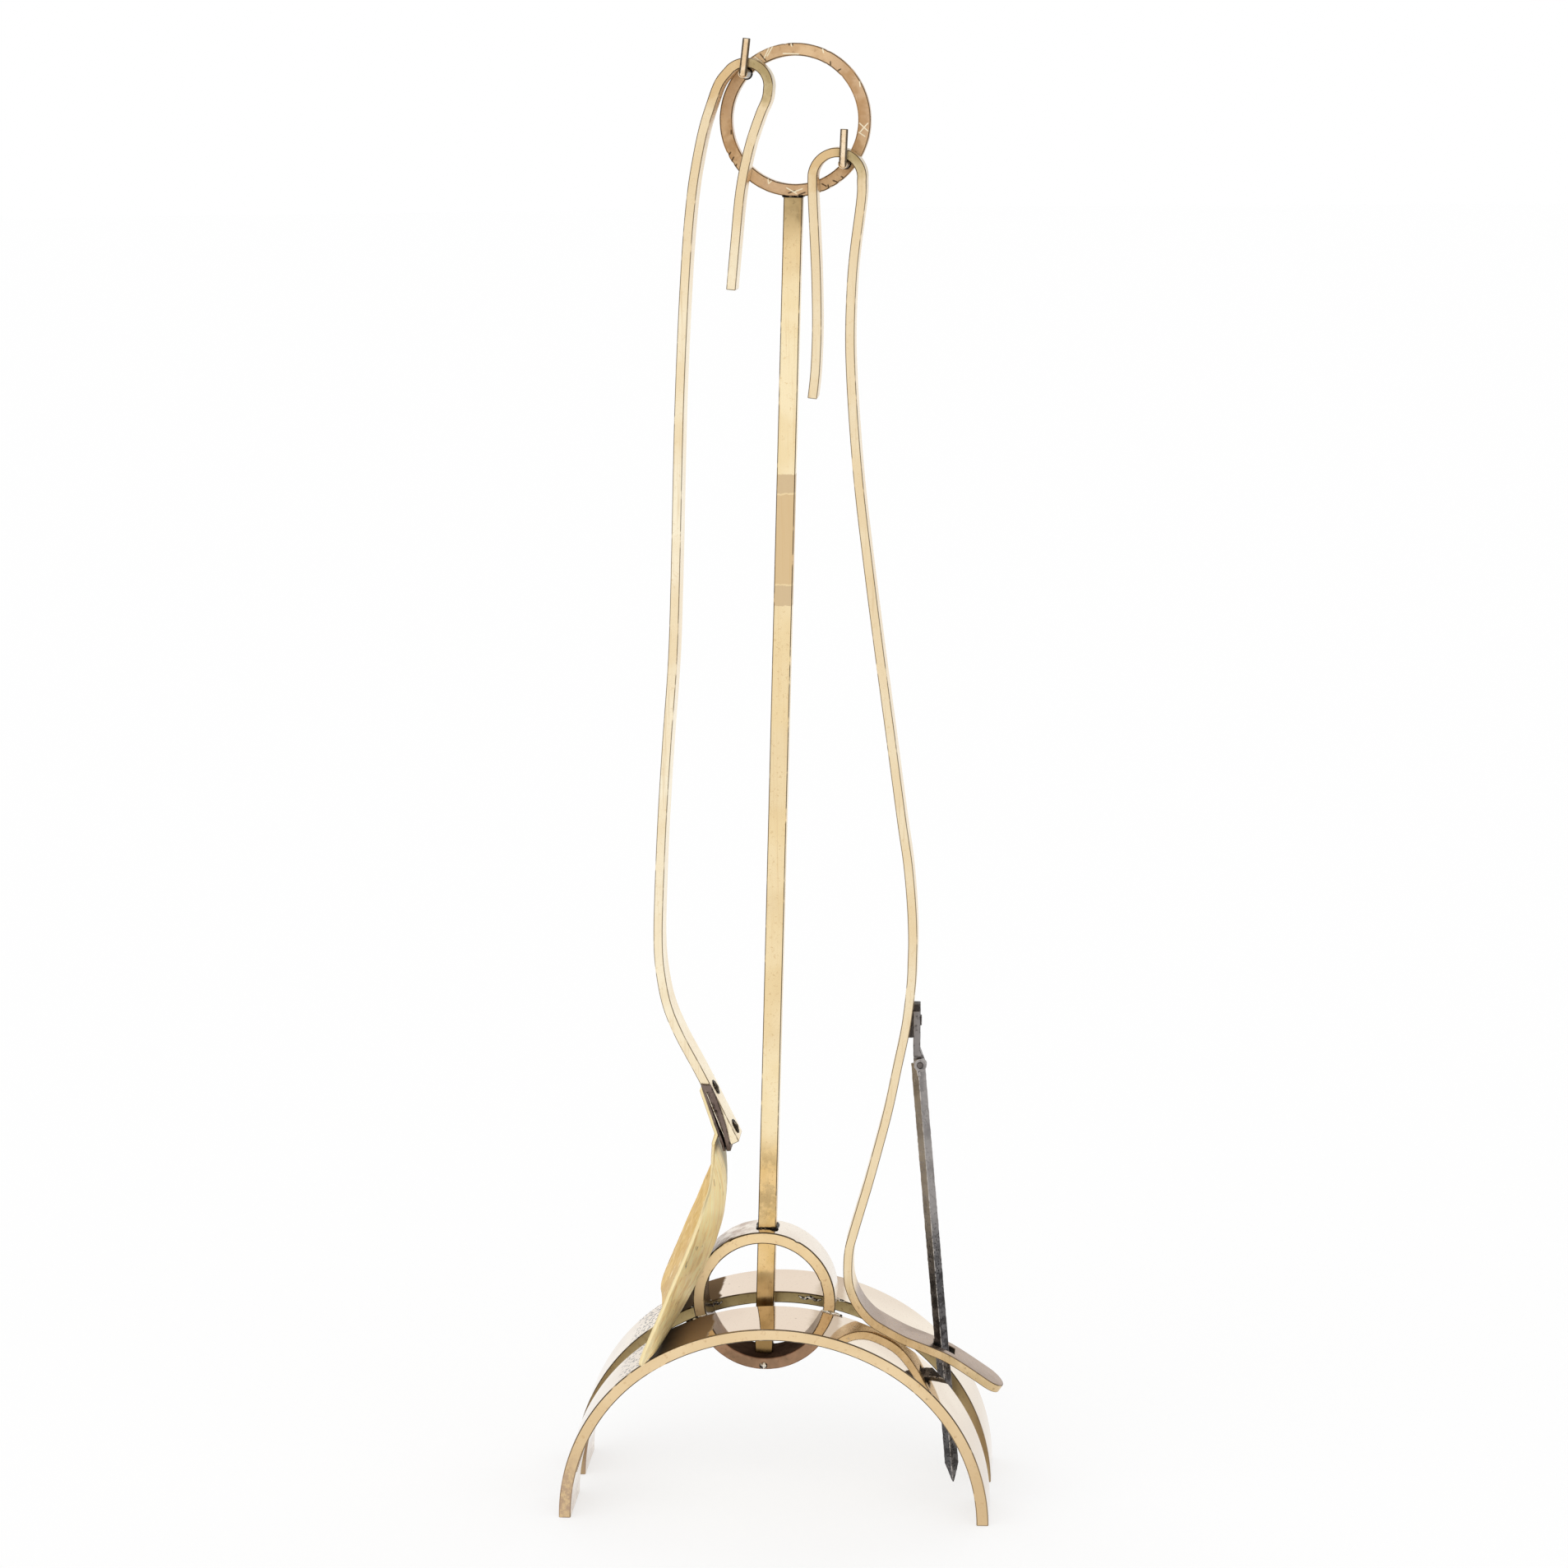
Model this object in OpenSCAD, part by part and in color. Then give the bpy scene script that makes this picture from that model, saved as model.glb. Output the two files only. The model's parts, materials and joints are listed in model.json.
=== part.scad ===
// Fireplace tool set in brass: a stand of two arches, two rings and a square post,
// with a shovel and a poker hung on two pins. The poker carries a hinged steel spike.
// Millimetres. X runs left to right, Y from front to back, and Z up from the floor.
// The origin is on the floor, under the middle of the whole set.

/* [Arches] */
// Outer half span of an arch at the floor
arch_half_span = 113.7; // [110:0.1:120]
// Outer height of an arch
arch_height = 106.4; // [105:0.1:112]
// Outer radius of an arch's sides
arch_side_r = 103.7; // [100:0.1:104]
// Front to back width of an arch
arch_width = 38.1; // [30:0.1:50]
// Wall thickness of the arches and the rings
wall = 6.35; // [5:0.05:7]
// Gap between the arches, which the base ring fills
arch_gap = 23.8; // [22:0.1:30]

/* [Rings and post] */
// Outer radius of both rings
ring_r = 38.1; // [36:0.1:40]
// Front to back depth of the top ring
top_ring_depth = 9.53; // [8:0.01:10]
// Centre of the base ring, left or right of the arches' middle
base_ring_x = -6.5; // [-10:0.1:10]
// Centre of the base ring above the floor
base_ring_z = 108.8; // [105:0.1:110]
// Distance between the two rings' centres
ring_spacing = 618.7; // [600:0.1:630]
// Side of the square post
post_side = 9.53; // [8:0.01:10]
// Lean of the post to the right, in degrees
post_lean = 2; // [0:0.1:3]

/* [Hanging pins] */
// Radius of the two hanging pins
pin_r = 2.38; // [2:0.01:2.6]
// Length of a pin in front of the top ring
pin_length = 24.2; // [23:0.1:30]
// Distance of a pin from the top ring's centre
pin_ring_r = 33.3; // [32.5:0.1:34]
// Place of the upper pin round the ring, in degrees
upper_pin_angle = 136; // [134:0.5:138]
// Place of the lower pin round the ring, in degrees
lower_pin_angle = -40.5; // [-42:0.5:-39]
// Radius of the upright at each pin's end
upright_r = 1.95; // [1.2:0.01:2]
// Height of an upright above its pin's axis
upright_height = 17.2; // [12:0.1:25]
// Lean of the upper upright to the right, in degrees
upper_upright_lean = 7; // [0:0.5:10]
// Lean of the lower upright to the right, in degrees
lower_upright_lean = 3; // [0:0.5:10]

/* [Tools] */
// Thickness of the flat bars that the tools are bent from
bar_thick = 4.76; // [4:0.01:5]
// Width of the flat bars, front to back
bar_width = 19.05; // [16:0.05:19.5]
// Middle of the hung tools, front to back, from the middle of the stand
tool_y = -15.5; // [-16.5:0.1:-15]
// Tilt of the poker, which sets its spike back between the arches, in degrees
poker_tilt = 0.74; // [0.6:0.01:0.8]

/* [Shovel pan] */
// Width of the pan
pan_width = 139.5; // [120:0.5:142]
// Length of the pan from its lip to its neck
pan_length = 109.5; // [100:0.5:112]
// Height of the pan's sides above the lip's middle
pan_lip_rise = 8.8; // [8:0.1:12]
// Height of the pan's neck above the lip's middle
pan_heel_rise = 20.5; // [19:0.1:21]
// Thickness of the pan's sheet
pan_thick = 1.8; // [1:0.1:2]
// Lean of the pan's floor from the vertical, in degrees
pan_lean = 25.4; // [24:0.1:27]

/* [Steel spike] */
// Width of the square spike across its corners
spike_diag = 7.6; // [6:0.1:8]
// Length of the spike below its rivet
spike_length = 232.9; // [200:0.1:234]
// Lean of the spike from the vertical, in degrees
spike_lean = 4.46; // [3.8:0.01:4.6]
// Radius of the rivet that the spike turns on
rivet_r = 1.5; // [1.2:0.05:2]

/* [Hidden] */
$fn = 96;

brass = [0.87, 0.74, 0.46];
polished = [0.93, 0.85, 0.66];
bronze = [0.72, 0.53, 0.33];
dark_bronze = [0.27, 0.2, 0.15];
steel = [0.4, 0.39, 0.38];
dark_steel = [0.2, 0.2, 0.2];

// The stand's middle, seen from the middle of the whole set's footprint.
stand_x = -3.5;
stand_y = 15.5;
reach = 400;             // longer than any cut that it is used for
running_gap = 0.05;      // radial clearance of a turning fit
snug_gap = 0.02;         // clearance of a fixed fit
curve_steps = 5;         // straight pieces between two knots of a bent bar
arch_steps = 32;         // straight pieces in each of an arch's three arcs

// Arches: two side arcs and a crown arc, tangent where they meet.
side_centre_x = arch_half_span - arch_side_r;
crown_r = (pow(side_centre_x, 2) + pow(arch_height, 2) - pow(arch_side_r, 2)) / (2 * (arch_height - arch_side_r));
crown_z = arch_height - crown_r;
side_sweep = atan2(-crown_z, side_centre_x);

// Rings and post. The column's own frame starts at the base ring's centre and leans with the post.
ring_bore_r = ring_r - wall;
top_ring_x = base_ring_x + ring_spacing * sin(post_lean);
top_ring_z = base_ring_z + ring_spacing * cos(post_lean);
foot_rivet_r = 2.4;
foot_rivet_head_r = 3.6;
foot_rivet_head = 1.6;
foot_rivet_depth = 9;

// Hanging pins.
upper_pin = [top_ring_x + pin_ring_r * cos(upper_pin_angle), top_ring_z + pin_ring_r * sin(upper_pin_angle)];
lower_pin = [top_ring_x + pin_ring_r * cos(lower_pin_angle), top_ring_z + pin_ring_r * sin(lower_pin_angle)];
pin_front_y = -top_ring_depth / 2 - pin_length;

// Shovel bar, as [x, z] along its middle: the hook's tip, round the crown, and down the shank.
shovel_hook_leg = [[-16.5, 643.5], [-14.3, 665], [-11.2, 692.7], [-6.6, 713.7], [-1.2, 729.4], [2.3, 737.4]];
shovel_crown = [-7.9, 744.3];
shovel_crown_r = 11.2;
shovel_shank = [[-21.2, 745.7], [-25.2, 735.7], [-29.3, 723.2], [-33, 706.7], [-35.7, 690.5], [-38.4, 665.3],
                [-41.3, 624.3], [-43.9, 574.7], [-46.7, 499], [-48.8, 455], [-52.4, 413], [-55.6, 371],
                [-58, 328], [-58.6, 305], [-57.4, 289], [-54.2, 272.6], [-48, 257], [-39.5, 240.5]];
shovel_knee = [-34.5, 230.5];
shovel_end = [-19.7, 199.6];

// Poker bar, in the same way, and on to its curved foot.
poker_hook_leg = [[23.9, 589], [25.5, 603], [26.5, 624], [26.4, 648.5], [25.7, 670], [24.95, 690]];
poker_crown = [37.3, 698.9];
poker_crown_r = 12.4;
poker_shank = [[49.5, 691], [48.3, 681], [46, 664.7], [44.3, 648], [43.2, 624], [43.4, 603], [44.9, 574],
               [47.5, 541], [52.2, 499], [57.3, 457], [62.8, 414], [68.2, 371], [71.2, 349], [73, 327.5],
               [73.6, 310], [73.3, 297], [72.6, 283.6], [69.8, 261.4], [65.2, 239.2], [60.5, 216.8],
               [54.7, 194.3], [49.8, 176.3], [45.8, 162.7], [41.8, 149], [39.4, 139.9], [38.6, 130.8],
               [38.9, 121.7], [41.2, 113.8], [45, 106.7], [50.7, 100.2], [58, 95.4], [68.8, 89.6],
               [81.8, 84.4], [94.7, 78.2]];
poker_toe = [119.4, 61.2];

// Shovel socket: a folded sheet, [x, z] of its outline seen from the front.
socket_top_left = [-37.3, 231.6];
socket_top_right = [-32.5, 231.4];
socket_bottom_right = [-21.7, 197];
socket_bottom_left = [-25.9, 196.4];
socket_cheek = 1.6;
socket_slit = 0.5;
socket_dir = (socket_bottom_left - socket_top_left) / norm(socket_bottom_left - socket_top_left);
socket_out = [socket_dir[1], -socket_dir[0]];
slit_inset = 1.9;
slit_start = 5;
// Distance of each rivet down the straight end of the bar, and of its tail from the bar's middle.
shovel_rivet_places = [[4.5, 5.3], [28, 8.4]];
shovel_rivet_r = 2;
rivet_head_r = 3.2;
rivet_head_rise = 1.4;

// Pan: a grid of stations from the lip up to the neck.
pan_lip = [-59.1, 91.7];
pan_up = [sin(pan_lean), cos(pan_lean)];
pan_in = [-cos(pan_lean), sin(pan_lean)];
pan_rim_slope = 4.4;     // how much higher the sides are at the neck, before they turn up to it
pan_rim_turn = 7.3;      // and how far they turn up there
pan_bow = 11.7;          // four times the depth of the floor's bow
pan_heel_power = 5.6;    // a higher one turns the floor up later
pan_keel = -10;          // the deepest line's distance behind the middle
pan_roll = 0.017;        // slope of the pan from front to back
pan_corner_r = 10;
pan_squareness = 6;      // power of the pan's outline: a higher one gives a squarer heel
pan_neck_half = bar_width / 2;
pan_stations = 26;
pan_columns = 20;
pan_last = pan_length * pow(1 - pow(pan_neck_half / (pan_width / 2), 2), 1 / pan_squareness);
tongue_reach = 2.9;      // the tongue stops this far below the socket's top
tongue_start = 8;        // and leaves the socket this far above its lower end
tongue_lap = 1.5;        // how far it runs on into the pan

// Spike and its hanger, [x, z] in the poker's own plane.
spike_pivot = [76.95, 239.5];
spike_offset = -1.15;    // of the spike's axis from its rivet
spike_side = spike_diag / sqrt(2);
spike_point = 11;
spike_point_half = 0.4;
cheek_front = -3.1;
cheek_back = 0.8;
cheek_r = 3.4;
cheek_shoulder = 0.8;
notch_depth = 2.5;
flat_depth = 2;
rivet_front_r = 1.6;
rivet_tail_r = 2.4;
rivet_head = 0.5;
strap_front = 0.9;
strap_back = 3.7;
strap_lap_z = 244.2;     // the strap is full thickness above this
strap_outline = [[73.4, 268.8], [77.2, 268.8], [76.9, 248], [79.5, 240.4], [79.5, 239.5], [76.95, 236.9],
                 [73.4, 239.2]];
bracket_width = 6;
bracket_outline = [[69, 254.3], [73.4, 254.3], [73.4, 268.8], [77.2, 268.8], [77.2, 272.7], [71, 272.7]];
bracket_rivet_z = 263.3;
bracket_rivet_r = 1.4;
bracket_rivet_head_r = 2.9;
bracket_rivet_head = 0.6;
hole_side_gap = 0.5;     // front and back of the spike in the foot's hole
hole_left_gap = 0.3;     // beside the spike at rest
hole_right_gap = 2.7;    // and what the spike swings through

// Points of an arc from angle a0 to a1 about centre c.
function arc(c, r, a0, a1, n) = [for (i = [0:n]) c + r * [cos(a0 + (a1 - a0) * i / n), sin(a0 + (a1 - a0) * i / n)]];
// Catmull-Rom curve through the knots k, with n pieces between neighbours.
function blend(a, b, c, d, t) =
    0.5 * (2 * b + t * (c - a) + t * t * (2 * a - 5 * b + 4 * c - d) + t * t * t * (3 * b - 3 * c + d - a));
function spline(k, n) = concat(
    [for (i = [0:len(k) - 2]) for (j = [0:n - 1])
        blend(k[max(i - 1, 0)], k[i], k[i + 1], k[min(i + 2, len(k) - 1)], j / n)],
    [k[len(k) - 1]]);
// Unit normal of the path p at point i.
function path_normal(p, i) =
    let (d = p[min(i + 1, len(p) - 1)] - p[max(i - 1, 0)]) [-d[1], d[0]] / norm(d);
// Outline of a bar of thickness t bent along the path p.
function bar_outline(p, t) = concat(
    [for (i = [0:len(p) - 1]) p[i] + path_normal(p, i) * t / 2],
    [for (i = [len(p) - 1:-1:0]) p[i] - path_normal(p, i) * t / 2]);

shovel_arc = arc(shovel_crown, shovel_crown_r, -8, 138, 22);
poker_arc = arc(poker_crown, poker_crown_r, 180, -8, 28);
shovel_path = spline(concat(shovel_hook_leg, [for (i = [0:2:22]) shovel_arc[i]], shovel_shank, [shovel_knee]),
                     curve_steps);
poker_path = spline(concat(poker_hook_leg, [for (i = [0:2:28]) poker_arc[i]], poker_shank, [poker_toe]),
                    curve_steps);
shovel_run = (shovel_end - shovel_knee) / norm(shovel_end - shovel_knee);
shovel_face = [-shovel_run[1], shovel_run[0]];
toe_run = (poker_toe - poker_shank[len(poker_shank) - 1]) / norm(poker_toe - poker_shank[len(poker_shank) - 1]);

// Half width of the pan at height s above its lip, with rounded lip corners.
function pan_half(s) = pan_width / 2 * sqrt(1 - pow(s / pan_length, pan_squareness));
function pan_corner(s) = s < pan_corner_r ? pan_corner_r - sqrt(pow(pan_corner_r, 2) - pow(pan_corner_r - s, 2)) : 0;
function pan_floor(s) =
    let (t = s / pan_length) pan_heel_rise * pow(t, pan_heel_power) - pan_bow * t * (1 - t);
function pan_rim(s) =
    let (t = s / pan_length) pan_lip_rise + pan_rim_slope * t + pan_rim_turn * pow(t, 16);
// Share of the way from the keel to the side that v is on, and how sharp the keel is there.
function pan_keel_at(s) = pan_keel * pan_half(s) / pan_half(0);
function pan_share(s, v) = let (k = pan_keel_at(s)) abs(v - k) / (v > k ? pan_half(s) - k : pan_half(s) + k);
function pan_sharpness(s) = 1.35 + 0.65 * s / pan_length;
// Height of the sheet above the lip's middle at s up from the lip and v to the side.
function pan_rise(s, v) =
    pan_floor(s) + (pan_rim(s) - pan_floor(s)) * pow(pan_share(s, v), pan_sharpness(s)) + pan_roll * v;
// A point of the pan: s up from the lip, v to the side, h into the bowl.
function pan_point(s, v, h) = [pan_lip[0] + s * pan_up[0] + h * pan_in[0], v, pan_lip[1] + s * pan_up[1] + h * pan_in[1]];
function pan_station(i) = pan_last * (1 - pow(1 - i / pan_stations, 1.7));
function pan_sheet(lift) = [
    for (i = [0:pan_stations]) for (j = [0:pan_columns])
        let (s = pan_station(i), v = (2 * j / pan_columns - 1) * (pan_half(s) - pan_corner(s)))
        pan_point(s, v, pan_rise(s, v) + lift)];

// Puts the stand's frame in the set's frame.
module placed() {
    translate([stand_x, stand_y, 0]) children();
}

// Extrudes an [x, z] outline from front to back, centred on y.
module front_to_back(depth, y) {
    translate([0, y + depth / 2, 0]) rotate([90, 0, 0]) linear_extrude(depth) children();
}

// A cylinder from y0 to y1 whose axis runs front to back through p = [x, z].
module pin_along_y(p, r, y0, y1) {
    translate([p[0], y1, p[1]]) rotate([90, 0, 0]) cylinder(r = r, h = y1 - y0);
}

// The leaning frame of the post, with its origin at the base ring's centre.
module column() {
    translate([base_ring_x, 0, base_ring_z]) rotate([0, post_lean, 0]) children();
}

// One face of an arch, from the left foot over the crown to the right foot.
function arch_curve(inset) =
    let (crown = arc([0, crown_z], crown_r - inset, 180 - side_sweep, side_sweep, arch_steps)) concat(
    arc([-side_centre_x, 0], arch_side_r - inset, 180, 180 - side_sweep, arch_steps),
    [for (i = [1:arch_steps - 1]) crown[i]],
    arc([side_centre_x, 0], arch_side_r - inset, side_sweep, 0, arch_steps));
function backwards(p) = [for (i = [len(p) - 1:-1:0]) p[i]];

// One arch, front to back about y.
module arch(y) {
    front_to_back(arch_width, y) polygon(concat(arch_curve(0), backwards(arch_curve(wall))));
}

module ring(depth) {
    rotate([90, 0, 0]) difference() {
        cylinder(r = ring_r, h = depth, center = true);
        cylinder(r = ring_bore_r, h = reach, center = true);
    }
}

module front_arch() {
    color(polished) placed() arch(-(arch_gap + arch_width) / 2);
}

module rear_arch() {
    color(polished) placed() arch((arch_gap + arch_width) / 2);
}

// The post goes through a square hole in the ring's top, and a rivet through its bottom.
module base_ring() {
    hole = post_side + 2 * snug_gap;
    color(bronze) placed() column() difference() {
        ring(arch_gap);
        translate([-hole / 2, -hole / 2, 0]) cube([hole, hole, reach]);
        translate([0, 0, -reach / 2]) cylinder(r = foot_rivet_r, h = reach / 2);
    }
}

module post() {
    color(brass) placed() column() difference() {
        intersection() {
            translate([-post_side / 2, -post_side / 2, -ring_r]) cube([post_side, post_side, ring_spacing]);
            union() {
                rotate([90, 0, 0]) cylinder(r = ring_bore_r, h = reach, center = true);
                translate([-reach / 2, -reach / 2, 0]) cube([reach, reach, 2 * reach]);
            }
        }
        translate([0, 0, ring_spacing]) rotate([90, 0, 0]) cylinder(r = ring_r, h = reach, center = true);
        translate([0, 0, -ring_r]) cylinder(r = foot_rivet_r, h = wall + foot_rivet_depth);
    }
}

module post_foot_rivet() {
    color(dark_bronze) placed() column() {
        translate([0, 0, -ring_r]) cylinder(r = foot_rivet_r, h = wall + foot_rivet_depth);
        intersection() {
            translate([0, 0, -ring_r - foot_rivet_head]) cylinder(r = foot_rivet_head_r, h = 2 * foot_rivet_head);
            difference() {
                translate([0, 0, -ring_r - foot_rivet_head + 4.9]) sphere(r = 4.9);
                rotate([90, 0, 0]) cylinder(r = ring_r, h = reach, center = true);
            }
        }
    }
}

module top_ring() {
    color(bronze) placed() column() translate([0, 0, ring_spacing]) ring(top_ring_depth);
}

// A round rod, rounded at its lower end, that stands at the front end of a pin.
module upright_rod(pin, lean) {
    translate([pin[0], pin_front_y, pin[1]]) rotate([0, lean, 0]) {
        cylinder(r = upright_r, h = upright_height);
        sphere(r = upright_r);
    }
}

// A pin brazed to the ring's front face, with its end hollowed to seat the upright.
module hanging_pin(pin, lean) {
    difference() {
        pin_along_y(pin, pin_r, pin_front_y, -top_ring_depth / 2);
        upright_rod(pin, lean);
    }
}

module upper_hanging_pin() {
    color(brass) placed() hanging_pin(upper_pin, upper_upright_lean);
}

module upper_pin_upright() {
    color(brass) placed() upright_rod(upper_pin, upper_upright_lean);
}

module lower_hanging_pin() {
    color(brass) placed() hanging_pin(lower_pin, lower_upright_lean);
}

module lower_pin_upright() {
    color(brass) placed() upright_rod(lower_pin, lower_upright_lean);
}

module shovel_frame() {
    placed() translate([0, tool_y, 0]) children();
}

// The bar's solid without its rivet holes, at a width of the caller's choice.
module shovel_bar_blank(width) {
    front_to_back(width, 0) polygon(bar_outline(concat(shovel_path, [shovel_end]), bar_thick));
}

// Stands children at a place down the bar's straight end, with +Z out of its top face.
module at_shovel_rivet(down) {
    p = shovel_knee + down * shovel_run;
    translate([p[0], 0, p[1]]) rotate([0, atan2(shovel_face[0], shovel_face[1]), 0]) children();
}

// The rivets' shanks, or with extra length the holes for them.
module shovel_rivet_shanks(r, extra) {
    for (place = shovel_rivet_places) {
        at_shovel_rivet(place[0]) translate([0, 0, -place[1] - extra])
            cylinder(r = r, h = place[1] + bar_thick / 2 + 2 * extra);
    }
}

module shovel_rivet_holes() {
    shovel_rivet_shanks(shovel_rivet_r + snug_gap, 1);
}

module shovel_bar() {
    color(brass) shovel_frame() difference() {
        shovel_bar_blank(bar_width);
        shovel_rivet_holes();
    }
}

// Two layers folded over at the top, with cheeks that lap the bar's edges.
module shovel_socket() {
    slit_top = socket_top_left + slit_start * socket_dir - slit_inset * socket_out;
    slit_low = socket_bottom_left + slit_start * socket_dir - slit_inset * socket_out;
    slit_step = socket_slit * socket_out;
    color(dark_bronze) shovel_frame() difference() {
        front_to_back(bar_width + 2 * socket_cheek, 0)
            polygon([socket_top_left, socket_top_right, socket_bottom_right, socket_bottom_left]);
        shovel_bar_blank(bar_width);
        shovel_rivet_holes();
        front_to_back(reach, 0) polygon([slit_top, slit_low, slit_low + slit_step, slit_top + slit_step]);
    }
}

module shovel_rivets() {
    cap_r = (pow(rivet_head_r, 2) + pow(rivet_head_rise, 2)) / (2 * rivet_head_rise);
    color(dark_bronze) shovel_frame() {
        shovel_rivet_shanks(shovel_rivet_r, 0);
        for (place = shovel_rivet_places) {
            at_shovel_rivet(place[0]) translate([0, 0, bar_thick / 2]) intersection() {
                cylinder(r = rivet_head_r, h = rivet_head_rise);
                translate([0, 0, rivet_head_rise - cap_r]) sphere(r = cap_r);
            }
        }
    }
}

// Sheet pan: two grids of points, the back and the inside, closed round the edge.
module pan_bowl() {
    row = pan_columns + 1;
    last = pan_stations * row;
    far = row * (pan_stations + 1);
    cells = [for (i = [0:pan_stations - 1]) for (j = [0:pan_columns - 1]) i * row + j];
    back = [for (c = cells) [c, c + row, c + row + 1, c + 1]];
    inside = [for (c = cells) [far + c, far + c + 1, far + c + row + 1, far + c + row]];
    lip = [for (j = [0:pan_columns - 1]) [j, j + 1, far + j + 1, far + j]];
    neck = [for (j = [0:pan_columns - 1]) [last + j, far + last + j, far + last + j + 1, last + j + 1]];
    sides = [for (i = [0:pan_stations - 1]) for (k = [0, 1])
        let (a = i * row + k * pan_columns)
        k == 0 ? [a, far + a, far + a + row, a + row] : [a, a + row, far + a + row, far + a]];
    polyhedron(concat(pan_sheet(0), pan_sheet(pan_thick)), concat(back, inside, lip, neck, sides));
}

module pan_tongue() {
    top = socket_top_left + tongue_reach * socket_dir;
    low = socket_bottom_left - tongue_start * socket_dir;
    neck = pan_last - tongue_lap;
    neck_back = pan_point(neck, 0, pan_rise(neck, 0));
    neck_inside = pan_point(neck, 0, pan_rise(neck, 0) + pan_thick);
    front_to_back(bar_width, 0) polygon([
        [neck_back[0], neck_back[2]],
        low,
        top,
        top + pan_thick * socket_out,
        low + pan_thick * socket_out,
        [neck_inside[0], neck_inside[2]]]);
}

module shovel_pan() {
    color(brass) shovel_frame() difference() {
        union() {
            pan_bowl();
            pan_tongue();
        }
        shovel_rivet_holes();
    }
}

// The poker hangs a little out of the vertical, tilted about the lower pin.
module poker_frame() {
    placed() translate([0, tool_y, lower_pin[1]]) rotate([poker_tilt, 0, 0]) translate([0, 0, -lower_pin[1]]) children();
}

// Stands children at the spike's rivet, with -Z down the spike.
module spike_frame() {
    translate([spike_pivot[0], 0, spike_pivot[1]]) rotate([0, -spike_lean, 0]) children();
}

module poker_bar_outline() {
    polygon(bar_outline(poker_path, bar_thick));
}

// Slot that the spike passes through, cut along the spike.
module spike_hole() {
    depth = spike_diag + 2 * hole_side_gap;
    spike_frame() translate([spike_offset - spike_diag / 2 - hole_left_gap, -depth / 2, -reach / 2])
        cube([spike_diag + hole_left_gap + hole_right_gap, depth, reach / 2 - 2 * cheek_r]);
}

module bracket_rivet_shank(r, x0, x1) {
    translate([x0, 0, bracket_rivet_z]) rotate([0, 90, 0]) cylinder(r = r, h = x1 - x0);
}

// Material beyond the foot's round toe.
module toe_corners() {
    toe_r = bar_width / 2;
    centre = poker_toe - toe_r * toe_run;
    translate([centre[0], 0, centre[1]]) rotate([0, -atan2(toe_run[1], toe_run[0]), 0]) difference() {
        translate([0, -bar_width, -bar_width]) cube([2 * bar_width, 2 * bar_width, 2 * bar_width]);
        cylinder(r = toe_r, h = 3 * bar_width, center = true);
    }
}

module poker_bar() {
    color(brass) poker_frame() difference() {
        front_to_back(bar_width, 0) poker_bar_outline();
        spike_hole();
        toe_corners();
        bracket_rivet_shank(bracket_rivet_r + snug_gap, bracket_outline[0][0] - bar_width, bracket_outline[4][0]);
    }
}

// Plate that lies against the bar, with a lip over the strap's top.
module spike_bracket() {
    color(dark_steel) poker_frame() difference() {
        front_to_back(bracket_width, 0) difference() {
            polygon(bracket_outline);
            poker_bar_outline();
        }
        bracket_rivet_shank(bracket_rivet_r + snug_gap, bracket_outline[0][0] - bar_width, 2 * bracket_outline[4][0]);
    }
}

// Goes through the strap, the bracket and the bar, with its head on the right.
module bracket_rivet() {
    face_x = bracket_outline[4][0];
    color(dark_steel) poker_frame() {
        bracket_rivet_shank(bracket_rivet_r, bracket_outline[5][0] - bar_thick / 2, face_x);
        bracket_rivet_shank(bracket_rivet_head_r, face_x, face_x + bracket_rivet_head);
    }
}

// Hangs beside the bar. Its lower end is halved, and laps behind the spike.
module spike_strap() {
    full = strap_back - cheek_front;
    color(steel) poker_frame() difference() {
        front_to_back(full, strap_back - full / 2) polygon(strap_outline);
        translate([0, cheek_front - full, 0]) cube([reach, strap_front - cheek_front + full, strap_lap_z]);
        pin_along_y(spike_pivot, rivet_r + snug_gap, cheek_front, 2 * strap_back);
        bracket_rivet_shank(bracket_rivet_r + snug_gap, strap_outline[0][0] - bar_width, 2 * strap_outline[1][0]);
    }
}

module spike_rivet() {
    color(dark_steel) poker_frame() {
        pin_along_y(spike_pivot, rivet_r, cheek_front - rivet_head, strap_back + rivet_head);
        pin_along_y(spike_pivot, rivet_front_r, cheek_front - rivet_head, cheek_front - running_gap);
        pin_along_y(spike_pivot, rivet_tail_r, strap_back, strap_back + rivet_head);
    }
}

// One face pair of the square spike, pointed at its lower end.
module spike_wedge() {
    half = spike_side / 2;
    shoulder = spike_point - spike_length;
    rotate([90, 0, 0]) translate([0, 0, -spike_diag]) linear_extrude(2 * spike_diag)
        polygon([[-half, cheek_shoulder], [half, cheek_shoulder], [half, shoulder], [spike_point_half, -spike_length],
                 [-spike_point_half, -spike_length], [-half, shoulder]]);
}

// The spike's upper end is halved to a flat cheek, which the rivet goes through.
module spike() {
    back_floor = -cheek_r - notch_depth;
    front_floor = -cheek_r - flat_depth;
    color(steel) poker_frame() spike_frame() difference() {
        union() {
            translate([spike_offset, 0, 0]) intersection() {
                rotate(45) spike_wedge();
                rotate(-45) spike_wedge();
            }
            pin_along_y([0, 0], cheek_r, cheek_front, cheek_back);
        }
        translate([-reach / 2, cheek_back, back_floor]) cube([reach, reach, reach]);
        translate([-reach / 2, cheek_front - reach, front_floor]) cube([reach, reach, reach]);
        pin_along_y([0, 0], rivet_r + running_gap, -reach, reach);
    }
}

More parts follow.
